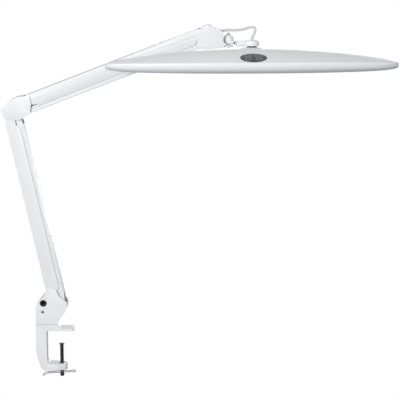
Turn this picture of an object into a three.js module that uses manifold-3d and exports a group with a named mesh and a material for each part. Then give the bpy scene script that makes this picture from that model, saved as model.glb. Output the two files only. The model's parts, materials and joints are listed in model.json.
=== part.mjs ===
// Swing arm desk lamp with a table clamp: two spring-balanced parallelogram arms and a long LED head.
// Millimetres, +Z up, +X along the arms' reach, +Y away from the side where the keys are.
// The origin is on the clamp screw's axis, in the plane of the upper jaw's underside.
import * as THREE from "three";
import { mergeVertices } from "three/addons/utils/BufferGeometryUtils.js";
import Module from "manifold-3d";

const wasm = await Module();
wasm.setup();

const { cos, sin, PI, hypot } = Math;
const rad = THREE.MathUtils.degToRad;
const FIT = 0.3; // gap between pieces that touch or turn on each other

// ---- driving dimensions --------------------------------------------------------------------------

// Layers of the arms and knuckles, as distances from the lamp's middle plane.
const CHEEK_IN = 10.3;
const CHEEK_OUT = 13;
const LINK_IN = 13.5;
const LINK_OUT = 15.2;
const ARM_IN = 15.6;
const ARM_OUT = 17.5;
const COVER_IN = 18;
const COVER_OUT = 20.6;

// Arms: a channel on the outer pivots and a narrower channel, the link, nested in its open side.
const ARM_LENGTH = 425;
const ARM_TOP = 15.5; // from the pivot line to the channel's back
const ARM_LIP = -13; // from the pivot line to the free edge of its sides
const ARM_WALL = 1.9;
const LINK_BACK = -6.5;
const LINK_EDGE = 6.4;
const LINK_WALL = 1.6;
const ARM_PIN_R = 3;
const LINK_PIN_R = 2;
const ARM_EYE_R = 8;
const LINK_EYE_R = 4.8;
const LOWER_ANGLE = rad(102.3);
const UPPER_ANGLE = rad(21.1);
const LOWER_SPREAD = { length: 14.5, angle: rad(-8) }; // outer pivot to link pivot, lower arm
const UPPER_SPREAD = { length: 17, angle: rad(-60) };

const BASE_PIVOT = new THREE.Vector2(-7.8, 57.5);
const ELBOW_STEP = new THREE.Vector2(20.6, 12.9); // lower arm's elbow pivot to the upper arm's

// Clamp
const JAW_HALF = 16;
const SEAT_TOP = 14.7; // the bracket's seat under the turret
const SEAT_FRONT = -9;
const TONGUE_TOP = 5; // the thin upper jaw in front of the seat
const JAW_REACH = 27;
const LEG_BACK = -54;
const LEG_FRONT = -31;
const LOWER_JAW_TOP = -74;
const LOWER_JAW_BOTTOM = -87.6;
const BOSS_R = 12;
const SCREW_R = 4;
const SCREW_END_R = 4.9;
const SCREW_BOTTOM = -103.5;
const SCREW_TOP = -33.9;
const FOOT_R = 5.6;
const FOOT_TOP = -31;
const BAR_R = 2.4;
const BAR_TILT = rad(3.7);
const BAR_Z = -94.4;
const SWIVEL_X = -42.5;
const SPIGOT_R = 6;
const SPIGOT_BOTTOM = -26;
const TURRET_FLOOR = 16;

// Turret
const TURRET_REAR = -53;
const TURRET_FOOT_FRONT = -9.5;
const SOCKET_X = -36.4;
const SOCKET_Z = 62.4;
const SOCKET_R = 7.2;
const COVER_SCREW_X = -38;
const COVER_SCREW_Z = 43.3;

// Balance springs: each hooks on a post above its pivot and on an anchor across the arm.
const SPRING_POST_R = 1.8;
const BASE_POST_STEP = new THREE.Vector2(-1, 19); // from the lower arm's base pivot
const ELBOW_POST_STEP = new THREE.Vector2(1.7, 11.9); // from the upper arm's elbow pivot
const ANCHOR_AT = 190;
const ANCHOR_HEIGHT = 4;
const SPRING_R = 5;
const SPRING_WIRE_R = 0.8;
const HOOK_LENGTH = 98; // straight wire from the post to the coil

// Where each channel's back starts and ends, clear of the knuckles' frames.
const ARM_BACK = [21, ARM_LENGTH - 20];
const LINK_BACK_SPAN = {
  lower: [24, ARM_LENGTH - 26],
  upper: [26, ARM_LENGTH - 26],
};

// Wrist, knuckle and link
const WRIST_FRONT = 346.7;
const EAR_TOP = 611;
const EAR_BOTTOM = 607.6;
const YAW_X = 357.1;
const YAW_TOP = 636.8;
const BALL_R = 11;
const BALL_Z = 622.7;
const PITCH_Z = 617.3;
const PITCH_REACH = 42;
const COLLAR_REACH = 28;
const NECK_R = 3;
const HUB_REACH = 88.2;
const HUB_R = 14.5;
const HUB_BOTTOM = 616;
const HUB_TOP = 627.3;
const LINK_AZIMUTH = rad(-58.3);
const STUD_R = 5;
const LEAD_R = 2.7;
const LEAD_ROUTE = [
  [326, 0, 633.5],
  [336, 0, 638.3],
  [346, -1, 641.2],
  [357, -7, 642.6],
  [372, -24, 643.8],
  [386, -45, 647],
  [399, -65, 652.5],
  [409, -77, 652],
  [408.5, -79, 643],
  [404.5, -76, 634],
  [403.5, -75, 625.8],
];

// Head
const HEAD_YAW = rad(3);
const HEAD_HALF_LENGTH = 297.5;
const HEAD_BACK = -22; // head's centre line behind the stud, in the head's own frame
const HEAD_HALF_WIDTH = 75;
const HEAD_END_WIDTH = 30;
const CREASE_Z = 590;
const CREASE_FALL = 4.7;
const DOME_RISE = 20.2;
const RIM_Z = 574.4;
const RIM_FALL = 0.7;
const LIP_DEPTH = 5.8;
const LIP_SLOPE = 1.2; // how far the lip leans in for each millimetre of its depth
const SHELL_WALL = 2.4;
const DIFFUSER_INSET = 10;
const PAD_TOP = 613.2;
const PANEL_X = -3;
const PANEL_Y = -76;
const PANEL_RX = 26.8;
const PANEL_RY = 19.5;
const KEY_R = 6.6;
const KEY_SPOTS = {
  key_power: [-11, -7.4],
  key_mode: [11, -7.4],
  key_dimmer: [-11, 7.4],
  key_brighter: [11, 7.4],
};

// ---- materials -----------------------------------------------------------------------------------

const finish = (color, roughness, metalness) =>
  new THREE.MeshStandardMaterial({ color, roughness, metalness });
const whitePaint = finish("#eeeef0", 0.45, 0.1);
const whitePlastic = finish("#efeff2", 0.5, 0);
const greyPlastic = finish("#c6c8cb", 0.5, 0);
const zinc = finish("#b4b6b8", 0.4, 1);
const steel = finish("#8e9092", 0.35, 1);
const blackSteel = finish("#2b2a26", 0.4, 1);
const blackPlastic = finish("#1b1b1d", 0.5, 0);
const greyCable = finish("#c4c4c6", 0.6, 0);
const acetal = finish("#d9d8d2", 0.5, 0);
const rubber = finish("#6f7072", 0.85, 0);
const slate = finish("#525a62", 0.35, 0);
const keyGrey = finish("#666f77", 0.4, 0);
const opal = finish("#f6f6f0", 0.35, 0);
const aluminium = finish("#c9cbcd", 0.4, 1);
const circuit = finish("#2f5a44", 0.6, 0);
const phosphor = finish("#f0dc82", 0.5, 0);

// ---- shape helpers -------------------------------------------------------------------------------

// A closed geometry as a manifold-3d solid.
function solid(geometry) {
  const bare = new THREE.BufferGeometry().setAttribute(
    "position",
    (geometry.index ? geometry.toNonIndexed() : geometry).getAttribute("position"),
  );
  const merged = mergeVertices(bare, 1e-4);
  return new wasm.Manifold(
    new wasm.Mesh({
      numProp: 3,
      vertProperties: merged.attributes.position.array,
      triVerts: new Uint32Array(merged.index.array),
    }),
  );
}

function geometryOf(made) {
  const mesh = made.getMesh();
  const geometry = new THREE.BufferGeometry();
  geometry.setAttribute("position", new THREE.BufferAttribute(mesh.vertProperties, 3));
  geometry.setIndex(new THREE.BufferAttribute(mesh.triVerts, 1));
  return geometry;
}

const join = (...geometries) =>
  geometryOf(geometries.map(solid).reduce((whole, piece) => whole.add(piece)));

const cut = (geometry, ...tools) =>
  geometryOf(tools.map(solid).reduce((whole, tool) => whole.subtract(tool), solid(geometry)));

const overlap = (a, b) => geometryOf(solid(a).intersect(solid(b)));

// An outline in the XZ plane, given by its corners.
const outline = (...corners) => new THREE.Shape(corners.map(([x, z]) => new THREE.Vector2(x, z)));

// An XZ outline as a slab from one Y to another.
function slab(shape, from, to, curveSegments = 5) {
  return new THREE.ExtrudeGeometry(shape, {
    depth: to - from,
    bevelEnabled: false,
    curveSegments,
  })
    .rotateX(PI / 2)
    .translate(0, to, 0);
}

// An XY outline as a plate from one Z to another.
function plate(shape, from, to, curveSegments = 6) {
  return new THREE.ExtrudeGeometry(shape, {
    depth: to - from,
    bevelEnabled: false,
    curveSegments,
  }).translate(0, 0, from);
}

const block = (x0, x1, y0, y1, z0, z1) =>
  new THREE.BoxGeometry(x1 - x0, y1 - y0, z1 - z0).translate(
    (x0 + x1) / 2,
    (y0 + y1) / 2,
    (z0 + z1) / 2,
  );

// A round bar along Y, centred on the point (x, z) of the XZ plane.
const crossBar = (x, z, r, from, to, sides = 14) =>
  new THREE.CylinderGeometry(r, r, to - from, sides).translate(x, (from + to) / 2, z);

// A round bar along Z.
const post = (x, y, r, from, to, sides = 20, topR = r) =>
  new THREE.CylinderGeometry(topR, r, to - from, sides)
    .rotateX(PI / 2)
    .translate(x, y, (from + to) / 2);

// A body of revolution about Z from [radius, z] pairs that start and end on the axis or close up.
const turned = (pairs, sides = 32) =>
  new THREE.LatheGeometry(
    pairs.map(([r, z]) => new THREE.Vector2(r, z)),
    sides,
  ).rotateX(PI / 2);

// A round cord or wire along a smooth curve through the given points.
function cord(points, r, steps, sides = 8) {
  const section = new THREE.Shape();
  section.absarc(0, 0, r, 0, 2 * PI);
  const path = new THREE.CatmullRomCurve3(points.map((p) => new THREE.Vector3(...p)));
  return new THREE.ExtrudeGeometry(section, {
    steps,
    curveSegments: sides / 2,
    extrudePath: path,
  });
}

// Rings of the same number of points, joined in turn and closed at both ends.
function loft(rings) {
  const points = rings.flat();
  const count = rings[0].length;
  const faces = [];
  for (let i = 0; i + 1 < rings.length; i += 1) {
    for (let k = 0; k < count; k += 1) {
      const a = i * count + k;
      const b = i * count + ((k + 1) % count);
      faces.push(a, b, b + count, a, b + count, a + count);
    }
  }
  const last = (rings.length - 1) * count;
  for (let k = 1; k + 1 < count; k += 1) {
    faces.push(0, k + 1, k, last, last + k, last + k + 1);
  }
  const geometry = new THREE.BufferGeometry().setFromPoints(points);
  geometry.setIndex(faces);
  return geometry;
}

const lamp = new THREE.Group();

function piece(name, geometry, material, parent = lamp) {
  const mesh = new THREE.Mesh(geometry, material);
  mesh.name = name;
  parent.add(mesh);
  return mesh;
}

// A group in the XZ plane: its origin at point, its x axis at the given angle above +X.
function frameAt(point, angle = 0) {
  const group = new THREE.Group();
  group.position.set(point.x, 0, point.y);
  group.rotation.y = -angle;
  lamp.add(group);
  return group;
}

const along = (point, angle, length) =>
  new THREE.Vector2(point.x + length * cos(angle), point.y + length * sin(angle));

// ---- pivots --------------------------------------------------------------------------------------

const base1 = BASE_PIVOT;
const base2 = along(base1, LOWER_SPREAD.angle, LOWER_SPREAD.length);
const elbow1 = along(base1, LOWER_ANGLE, ARM_LENGTH);
const elbow2 = along(base2, LOWER_ANGLE, ARM_LENGTH);
const upper1 = elbow1.clone().add(ELBOW_STEP);
const upper2 = along(upper1, UPPER_SPREAD.angle, UPPER_SPREAD.length);
const wrist1 = along(upper1, UPPER_ANGLE, ARM_LENGTH);
const wrist2 = along(upper2, UPPER_ANGLE, ARM_LENGTH);
const basePost = base1.clone().add(BASE_POST_STEP);
const elbowPost = upper1.clone().add(ELBOW_POST_STEP);

// ---- clamp ---------------------------------------------------------------------------------------

const PAD_THICK = 1.2;

// The rubber pad under the upper jaw, or with a margin the groove that it lies in.
const jawPad = (from, to, margin = 0) =>
  block(
    LEG_FRONT + 8 - margin,
    JAW_REACH - 5 + margin,
    -JAW_HALF + 4 - margin,
    JAW_HALF - 4 + margin,
    from,
    to,
  );

function clampBracket() {
  const side = new THREE.Shape();
  side.moveTo(LEG_BACK, SEAT_TOP);
  side.lineTo(LEG_BACK, -42);
  side.quadraticCurveTo(-53.6, -50, -50.3, -61);
  side.lineTo(-46, -77);
  side.quadraticCurveTo(-43.5, LOWER_JAW_BOTTOM, -33, LOWER_JAW_BOTTOM);
  side.lineTo(BOSS_R, LOWER_JAW_BOTTOM);
  side.lineTo(BOSS_R, LOWER_JAW_TOP);
  side.lineTo(LEG_FRONT + 10, LOWER_JAW_TOP);
  side.quadraticCurveTo(LEG_FRONT, LOWER_JAW_TOP, LEG_FRONT, LOWER_JAW_TOP + 12);
  side.lineTo(LEG_FRONT, -3);
  side.quadraticCurveTo(LEG_FRONT, 0, LEG_FRONT + 3, 0);
  side.lineTo(JAW_REACH, 0);
  side.lineTo(JAW_REACH, TONGUE_TOP);
  side.lineTo(SEAT_FRONT + 11, TONGUE_TOP);
  side.quadraticCurveTo(SEAT_FRONT + 3, TONGUE_TOP, SEAT_FRONT, SEAT_TOP);
  side.closePath();

  const plan = new THREE.Shape();
  plan.moveTo(LEG_BACK, -JAW_HALF);
  plan.lineTo(-14, -JAW_HALF);
  plan.quadraticCurveTo(-6, -JAW_HALF, 0, -BOSS_R);
  plan.absarc(0, 0, BOSS_R, -PI / 2, PI / 2);
  plan.quadraticCurveTo(-6, JAW_HALF, -14, JAW_HALF);
  plan.lineTo(LEG_BACK, JAW_HALF);
  plan.closePath();

  const topPlan = new THREE.Shape();
  const corner = 4;
  topPlan.moveTo(LEG_BACK, -JAW_HALF);
  topPlan.lineTo(JAW_REACH - corner, -JAW_HALF);
  topPlan.absarc(JAW_REACH - corner, -JAW_HALF + corner, corner, -PI / 2, 0);
  topPlan.absarc(JAW_REACH - corner, JAW_HALF - corner, corner, 0, PI / 2);
  topPlan.lineTo(LEG_BACK, JAW_HALF);
  topPlan.closePath();

  const middle = -30;
  const limits = join(
    plate(topPlan, middle, SEAT_TOP + 1, 4),
    plate(plan, LOWER_JAW_BOTTOM - 1, middle, 6),
  );
  const body = overlap(slab(side, -JAW_HALF, JAW_HALF, 6), limits);
  const spigotBore = post(SWIVEL_X, 0, SPIGOT_R + 1.5 + 2 * FIT, SPIGOT_BOTTOM - 2, SEAT_TOP + 1);
  const insertBore = post(0, 0, 7 + FIT, LOWER_JAW_BOTTOM - 1, LOWER_JAW_TOP + 1);
  return cut(body, spigotBore, insertBore, jawPad(-1, PAD_THICK, FIT));
}

piece("clamp_bracket", clampBracket(), whitePaint);

piece("top_jaw_pad", jawPad(0, PAD_THICK - FIT), rubber);

piece(
  "thread_insert",
  cut(
    join(
      post(0, 0, 7, LOWER_JAW_BOTTOM + 0.5, LOWER_JAW_TOP - 0.5),
      post(0, 0, 6, LOWER_JAW_TOP - 1, LOWER_JAW_TOP - 0.2),
    ),
    post(0, 0, SCREW_R + FIT, LOWER_JAW_BOTTOM - 1, LOWER_JAW_TOP + 1),
  ),
  steel,
);

piece(
  "clamp_screw",
  cut(
    join(
      post(0, 0, SCREW_END_R, SCREW_BOTTOM + 1, -89.5),
      post(0, 0, SCREW_END_R - 1, SCREW_BOTTOM, SCREW_BOTTOM + 1, 24, SCREW_END_R),
      post(0, 0, SCREW_R, -90, SCREW_TOP),
      post(0, 0, 2.2, SCREW_TOP - 1, FOOT_TOP - 1 - FIT),
    ),
    new THREE.CylinderGeometry(BAR_R + 0.65, BAR_R + 0.65, 20, 20)
      .rotateZ(PI / 2)
      .translate(0, 0, BAR_Z),
  ),
  blackSteel,
);

piece(
  "pressure_foot",
  turned([
    [0, FOOT_TOP],
    [FOOT_R - 0.4, FOOT_TOP],
    [FOOT_R, FOOT_TOP - 0.5],
    [FOOT_R, FOOT_TOP - 1.7],
    [FOOT_R - 1, FOOT_TOP - 2.6],
    [2.2 + FIT, FOOT_TOP - 2.6],
    [2.2 + FIT, FOOT_TOP - 1],
    [0, FOOT_TOP - 1],
  ].reverse()),
  blackSteel,
);

function tommyBar() {
  const lean = new THREE.Vector3(cos(BAR_TILT), 0, sin(BAR_TILT));
  const at = (s, drop = 0) => [s * lean.x, 0, BAR_Z + s * lean.z - drop];
  const rod = cord([at(24), at(0), at(-33), at(-37, 1.2), at(-41.5, 5.4)], BAR_R, 14, 12);
  const knob = new THREE.CylinderGeometry(3, 3, 7, 16)
    .rotateZ(PI / 2)
    .rotateY(-BAR_TILT)
    .translate(...at(25.5));
  return join(rod, knob);
}
piece("tommy_bar", tommyBar(), zinc);

// ---- knuckle parts shared by the turret, the elbow and the wrist ----------------------------------

// Both cover plates, near (-Y) and far (+Y), each with flanges that close the rim where no arm swings.
function coverPair(name, plateShape, flangeShapes, cuts = { near: [], far: [] }) {
  for (const side of ["near", "far"]) {
    const sign = side === "near" ? -1 : 1;
    const span = (a, b) => (sign < 0 ? [-b, -a] : [a, b]);
    const parts = [slab(plateShape, ...span(COVER_IN, COVER_OUT), 6)];
    for (const shape of flangeShapes) {
      parts.push(slab(shape, ...span(CHEEK_OUT + FIT, COVER_OUT), 6));
    }
    const body = join(...parts);
    piece(`${name}_${side}`, cuts[side].length ? cut(body, ...cuts[side]) : body, whitePlastic);
  }
}

// A stepped pivot pin along Y with a shallow head at each end.
const pivotPin = (point, r, half) =>
  join(
    crossBar(point.x, point.y, r, -half, half, 12),
    crossBar(point.x, point.y, r + 1.2, CHEEK_IN - 1.6, CHEEK_IN - FIT, 12),
    crossBar(point.x, point.y, r + 1.2, -CHEEK_IN + FIT, -CHEEK_IN + 1.6, 12),
  );

const pinHole = (point, r) => crossBar(point.x, point.y, r + FIT, -30, 30, 12);

const springPost = (point) =>
  crossBar(point.x, point.y, SPRING_POST_R, -CHEEK_OUT, CHEEK_OUT, 16);

// ---- turret on the clamp ---------------------------------------------------------------------------

piece(
  "swivel_bushing",
  cut(
    join(
      post(SWIVEL_X, 0, SPIGOT_R + 1.5 + FIT, SPIGOT_BOTTOM - 1.5, SEAT_TOP + 0.6),
      post(SWIVEL_X, 0, SPIGOT_R + 4.5, SEAT_TOP + FIT, TURRET_FLOOR - FIT),
    ),
    post(SWIVEL_X, 0, SPIGOT_R + FIT, SPIGOT_BOTTOM - 2, TURRET_FLOOR + 1),
  ),
  acetal,
);

function turretFrame() {
  const cheek = new THREE.Shape();
  cheek.moveTo(TURRET_REAR + 3, TURRET_FLOOR);
  cheek.lineTo(TURRET_REAR + 3, 47);
  cheek.lineTo(-36, 68);
  cheek.lineTo(-18, 68);
  cheek.absarc(basePost.x, basePost.y, 4, PI, 0, true);
  cheek.lineTo(base1.x + 12, base1.y + 4);
  cheek.absarc(base2.x, base2.y, 7, 0, -1.1, true);
  cheek.lineTo(TURRET_FOOT_FRONT - 3, TURRET_FLOOR);
  cheek.closePath();
  const spine = outline(
    [13, 60],
    [13, 54],
    [7, 41],
    [-9, TURRET_FLOOR],
    [-13, TURRET_FLOOR],
    [4.6, 42.5],
    [10.7, 55],
    [10.7, 60],
  );
  const floor = new THREE.Shape();
  floor.moveTo(TURRET_REAR + 3, -CHEEK_OUT);
  floor.lineTo(-13, -CHEEK_OUT);
  floor.lineTo(-13, CHEEK_OUT);
  floor.lineTo(TURRET_REAR + 3, CHEEK_OUT);
  floor.closePath();
  const body = join(
    slab(cheek, CHEEK_IN, CHEEK_OUT),
    slab(cheek, -CHEEK_OUT, -CHEEK_IN),
    plate(floor, TURRET_FLOOR, TURRET_FLOOR + 4),
    slab(spine, -CHEEK_OUT, CHEEK_OUT),
    block(TURRET_REAR + 3, TURRET_REAR + 5.2, -CHEEK_OUT, CHEEK_OUT, TURRET_FLOOR + 12, 47),
  );
  return cut(
    body,
    pinHole(base1, ARM_PIN_R),
    pinHole(base2, LINK_PIN_R),
    post(SWIVEL_X, 0, 4 + FIT, TURRET_FLOOR - 1, TURRET_FLOOR + 5),
    crossBar(SOCKET_X, SOCKET_Z, SOCKET_R + 1, -30, 0, 24),
    crossBar(COVER_SCREW_X, COVER_SCREW_Z, 1.6, -30, 30, 16),
    pinHole(basePost, SPRING_POST_R),
  );
}

piece("turret_frame", turretFrame(), whitePaint);

piece(
  "turret_spindle",
  join(
    post(SWIVEL_X, 0, SPIGOT_R, SPIGOT_BOTTOM, TURRET_FLOOR - FIT),
    post(SWIVEL_X, 0, 4, TURRET_FLOOR - 1, TURRET_FLOOR + 10),
  ),
  steel,
);

piece(
  "spindle_nut",
  cut(
    post(SWIVEL_X, 0, 6.8, TURRET_FLOOR + 4 + FIT, TURRET_FLOOR + 9, 6),
    post(SWIVEL_X, 0, 4 + FIT, TURRET_FLOOR, TURRET_FLOOR + 12),
  ),
  steel,
);

const turretPlate = new THREE.Shape();
turretPlate.moveTo(TURRET_REAR, TURRET_FLOOR);
turretPlate.lineTo(TURRET_FOOT_FRONT, TURRET_FLOOR);
turretPlate.lineTo(-8, 19);
turretPlate.lineTo(7.2, 39);
turretPlate.quadraticCurveTo(13.7, 48, 13.7, 57.5);
turretPlate.quadraticCurveTo(13.2, 65, 8, 69);
turretPlate.lineTo(-3.5, 78.5);
turretPlate.lineTo(-5.5, 84);
turretPlate.lineTo(-9, 93);
turretPlate.quadraticCurveTo(-21, 97, -30.5, 88);
turretPlate.quadraticCurveTo(-31.5, 81.5, -35.5, 77);
turretPlate.lineTo(-48.5, 61.5);
turretPlate.quadraticCurveTo(TURRET_REAR, 56, TURRET_REAR, 48);
turretPlate.closePath();

const turretRear = outline(
  [TURRET_REAR, TURRET_FLOOR],
  [TURRET_REAR + 2.2, TURRET_FLOOR],
  [TURRET_REAR + 2.2, 48],
  [-47, 60.4],
  [-37.5, 71.6],
  [-39.2, 73.2],
  [-48.5, 61.5],
  [-51.6, 56],
  [TURRET_REAR, 48],
);
const turretFlank = outline([-8, 19], [7.2, 39], [5.4, 40.3], [-9.8, 20.3]);

coverPair("base_cover", turretPlate, [turretRear, turretFlank], {
  near: [
    crossBar(SOCKET_X, SOCKET_Z, SOCKET_R + FIT, -30, -10, 28),
    crossBar(SOCKET_X, SOCKET_Z, SOCKET_R + 0.8 + FIT, -COVER_IN, -10, 28),
    crossBar(COVER_SCREW_X, COVER_SCREW_Z, 1.8, -30, -10, 16),
    crossBar(COVER_SCREW_X, COVER_SCREW_Z, 3.5, -30, -COVER_OUT + 1.6, 20),
  ],
  far: [crossBar(COVER_SCREW_X, COVER_SCREW_Z, 1.8, 10, COVER_OUT - 1, 16)],
});

function dcSocket() {
  const depth = 15;
  const bore = 3.2;
  const ring = join(
    crossBar(SOCKET_X, SOCKET_Z, SOCKET_R, -COVER_OUT - 0.5, -COVER_OUT + depth, 32),
    crossBar(SOCKET_X, SOCKET_Z, SOCKET_R + 0.8, -COVER_IN + FIT, -COVER_IN + 1.8, 32),
  );
  const hollow = crossBar(SOCKET_X, SOCKET_Z, bore, -COVER_OUT - 1, -COVER_OUT + 10, 20);
  const pin = crossBar(SOCKET_X, SOCKET_Z, 1.05, -COVER_OUT + 1.5, -COVER_OUT + 12, 12);
  return join(cut(ring, hollow), pin);
}
piece("dc_socket", dcSocket(), blackPlastic);

// A pan-headed screw along Y, with its head on the near side at the given distance from the middle.
function panScrew(x, z, headR, shankR, headAt, length) {
  return cut(
    join(
      crossBar(x, z, shankR, -headAt, -headAt + length, 12),
      crossBar(x, z, headR, -headAt - 1.4, -headAt + 0.2, 20),
    ),
    crossBar(x, z, headR * 0.45, -headAt - 2, -headAt - 0.5, 6),
  );
}
piece(
  "base_cover_screw",
  panScrew(COVER_SCREW_X, COVER_SCREW_Z, 2.9, 1.3, COVER_OUT - 1.6 + FIT, 12),
  zinc,
);

piece("base_arm_pin", pivotPin(base1, ARM_PIN_R, COVER_IN - FIT), steel);
piece("base_link_pin", pivotPin(base2, LINK_PIN_R, LINK_OUT + 0.1), steel);
piece("base_spring_post", springPost(basePost), steel);

// ---- arms ------------------------------------------------------------------------------------------

// The outer channel in the arm's own frame: x along the arm from its first pivot, z towards its back.
function armChannel(backFrom, backTo) {
  const side = new THREE.Shape();
  const eye = ARM_EYE_R;
  side.moveTo(0, -eye);
  side.lineTo(8, -eye + 1);
  side.lineTo(29, -5.5);
  side.lineTo(38, ARM_LIP);
  side.lineTo(ARM_LENGTH - 38, ARM_LIP);
  side.lineTo(ARM_LENGTH - 29, -5.5);
  side.lineTo(ARM_LENGTH - 8, -eye + 1);
  side.lineTo(ARM_LENGTH, -eye);
  side.absarc(ARM_LENGTH, 0, eye, -PI / 2, PI / 2);
  side.lineTo(ARM_LENGTH - 3, eye + 1);
  side.lineTo(backTo - 1, ARM_TOP);
  side.lineTo(backFrom + 1, ARM_TOP);
  side.lineTo(3, eye + 1);
  side.absarc(0, 0, eye, PI / 2, (3 * PI) / 2);
  const inside = ARM_TOP - ARM_WALL;
  return cut(
    slab(side, -ARM_OUT, ARM_OUT),
    block(-30, ARM_LENGTH + 30, -ARM_IN, ARM_IN, -40, inside),
    block(-30, backFrom, -ARM_IN, ARM_IN, -40, 40),
    block(backTo, ARM_LENGTH + 30, -ARM_IN, ARM_IN, -40, 40),
    crossBar(0, 0, ARM_PIN_R + FIT, -30, 30),
    crossBar(ARM_LENGTH, 0, ARM_PIN_R + FIT, -30, 30),
  );
}

// The link in its own frame: x along the link from its first pivot.
function linkChannel(backFrom, backTo) {
  const side = new THREE.Shape();
  const eye = LINK_EYE_R;
  side.moveTo(0, -eye);
  side.lineTo(10, -eye);
  side.lineTo(backFrom, LINK_BACK);
  side.lineTo(backTo, LINK_BACK);
  side.lineTo(ARM_LENGTH - 10, -eye);
  side.lineTo(ARM_LENGTH, -eye);
  side.absarc(ARM_LENGTH, 0, eye, -PI / 2, PI / 2);
  side.lineTo(ARM_LENGTH - 14, LINK_EDGE);
  side.lineTo(14, LINK_EDGE);
  side.lineTo(0, eye);
  side.absarc(0, 0, eye, PI / 2, (3 * PI) / 2);
  const inside = LINK_BACK + LINK_WALL;
  return cut(
    slab(side, -LINK_OUT, LINK_OUT),
    block(-30, ARM_LENGTH + 30, -LINK_IN, LINK_IN, inside, 40),
    block(-30, backFrom, -LINK_IN, LINK_IN, -40, 40),
    block(backTo, ARM_LENGTH + 30, -LINK_IN, LINK_IN, -40, 40),
    crossBar(0, 0, LINK_PIN_R + FIT, -30, 30),
    crossBar(ARM_LENGTH, 0, LINK_PIN_R + FIT, -30, 30),
  );
}

// A tension spring from one point to another in the arm's frame, with straight hooked ends.
function tensionSpring(from, to, turns) {
  const [x0, z0] = from;
  const [x1, z1] = to;
  const length = hypot(x1 - x0, z1 - z0);
  const eyeLead = 14;
  const steps = turns * 6;
  const points = [[0, 0, 0], [HOOK_LENGTH / 2, 0, 0], [HOOK_LENGTH - 6, 0, 0]];
  for (let i = 0; i <= steps; i += 1) {
    const turn = (i / 6) * 2 * PI;
    const x = HOOK_LENGTH + ((length - HOOK_LENGTH - eyeLead) * i) / steps;
    points.push([x, SPRING_R * sin(turn), SPRING_R * cos(turn)]);
  }
  points.push([length - eyeLead / 2, 0, 0], [length, 0, 0]);
  return cord(points, SPRING_WIRE_R, steps + 6, 4)
    .rotateY(-Math.atan2(z1 - z0, x1 - x0))
    .translate(x0, 0, z0);
}

function makeArm(label, pivot, linkPivot, angle, postStep) {
  const arm = frameAt(pivot, angle);
  const link = frameAt(linkPivot, angle);
  piece(`${label}_arm_channel`, armChannel(...ARM_BACK), whitePaint, arm);
  piece(`${label}_link_channel`, linkChannel(...LINK_BACK_SPAN[label]), whitePaint, link);
  piece(
    `${label}_spring_anchor`,
    crossBar(ANCHOR_AT, ANCHOR_HEIGHT, 2, -ARM_IN + FIT, ARM_IN - FIT, 16),
    steel,
    arm,
  );
  const hook = postStep.clone().rotateAround(new THREE.Vector2(), -angle);
  const gap = SPRING_POST_R + SPRING_WIRE_R + FIT;
  piece(
    `${label}_arm_spring`,
    tensionSpring([hook.x + gap, hook.y], [ANCHOR_AT - 2 - SPRING_WIRE_R - FIT, ANCHOR_HEIGHT], 10),
    zinc,
    arm,
  );
  piece(
    `${label}_arm_lead`,
    cord(
      [
        [46, -8, 9.5],
        [140, -8.4, 10],
        [ARM_LENGTH - 140, -8, 10],
        [ARM_LENGTH - 46, -8, 9.5],
      ],
      2,
      24,
      6,
    ),
    greyCable,
    arm,
  );
}

makeArm("lower", base1, base2, LOWER_ANGLE, BASE_POST_STEP);
makeArm("upper", upper1, upper2, UPPER_ANGLE, ELBOW_POST_STEP);

// ---- elbow -----------------------------------------------------------------------------------------

function elbowFrame() {
  const cheek = new THREE.Shape();
  cheek.moveTo(-106, 465);
  cheek.lineTo(-106, 479);
  cheek.lineTo(-93, 494);
  cheek.lineTo(-80, 501);
  cheek.lineTo(-71.5, 502);
  cheek.lineTo(-62, 484);
  cheek.lineTo(-62, 467);
  cheek.lineTo(-78, 462);
  cheek.closePath();
  const spine = outline(
    [-116, 480.6],
    [-109, 486.7],
    [-94, 498.6],
    [-81, 503.8],
    [-71, 505.4],
    [-71, 501.4],
    [-80.5, 500.3],
    [-93, 496.2],
    [-107.6, 484.9],
    [-114, 479.2],
  );
  const rib = outline([-95, 486], [-91.5, 497.5], [-88.5, 498.5], [-88.5, 486]);
  return cut(
    join(
      slab(cheek, CHEEK_IN, CHEEK_OUT),
      slab(cheek, -CHEEK_OUT, -CHEEK_IN),
      slab(spine, -CHEEK_OUT, CHEEK_OUT),
      slab(rib, -CHEEK_OUT, CHEEK_OUT),
    ),
    pinHole(elbow1, ARM_PIN_R),
    pinHole(elbow2, LINK_PIN_R),
    pinHole(upper1, ARM_PIN_R),
    pinHole(upper2, LINK_PIN_R),
    pinHole(elbowPost, SPRING_POST_R),
  );
}
piece("elbow_frame", elbowFrame(), whitePaint);
piece("elbow_spring_post", springPost(elbowPost), steel);

const elbowPlate = new THREE.Shape();
elbowPlate.moveTo(-113.5, 464);
elbowPlate.quadraticCurveTo(-111, 459.5, -106, 458.6);
elbowPlate.quadraticCurveTo(-93, 457.6, -80, 455.6);
elbowPlate.lineTo(-53.2, 471.2);
elbowPlate.lineTo(-56.3, 474);
elbowPlate.lineTo(-54, 490);
elbowPlate.lineTo(-57, 505.5);
elbowPlate.quadraticCurveTo(-63, 507, -68.5, 506.2);
elbowPlate.quadraticCurveTo(-86, 504.4, -94, 498.8);
elbowPlate.lineTo(-109, 487.2);
elbowPlate.quadraticCurveTo(-117.8, 480, -117.4, 475);
elbowPlate.closePath();

const elbowCrown = outline(
  [-110, 486.4],
  [-94, 498.8],
  [-88, 501.7],
  [-88, 499.6],
  [-93, 496.6],
  [-108.6, 484.8],
);
coverPair("elbow_cover", elbowPlate, [elbowCrown]);

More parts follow.
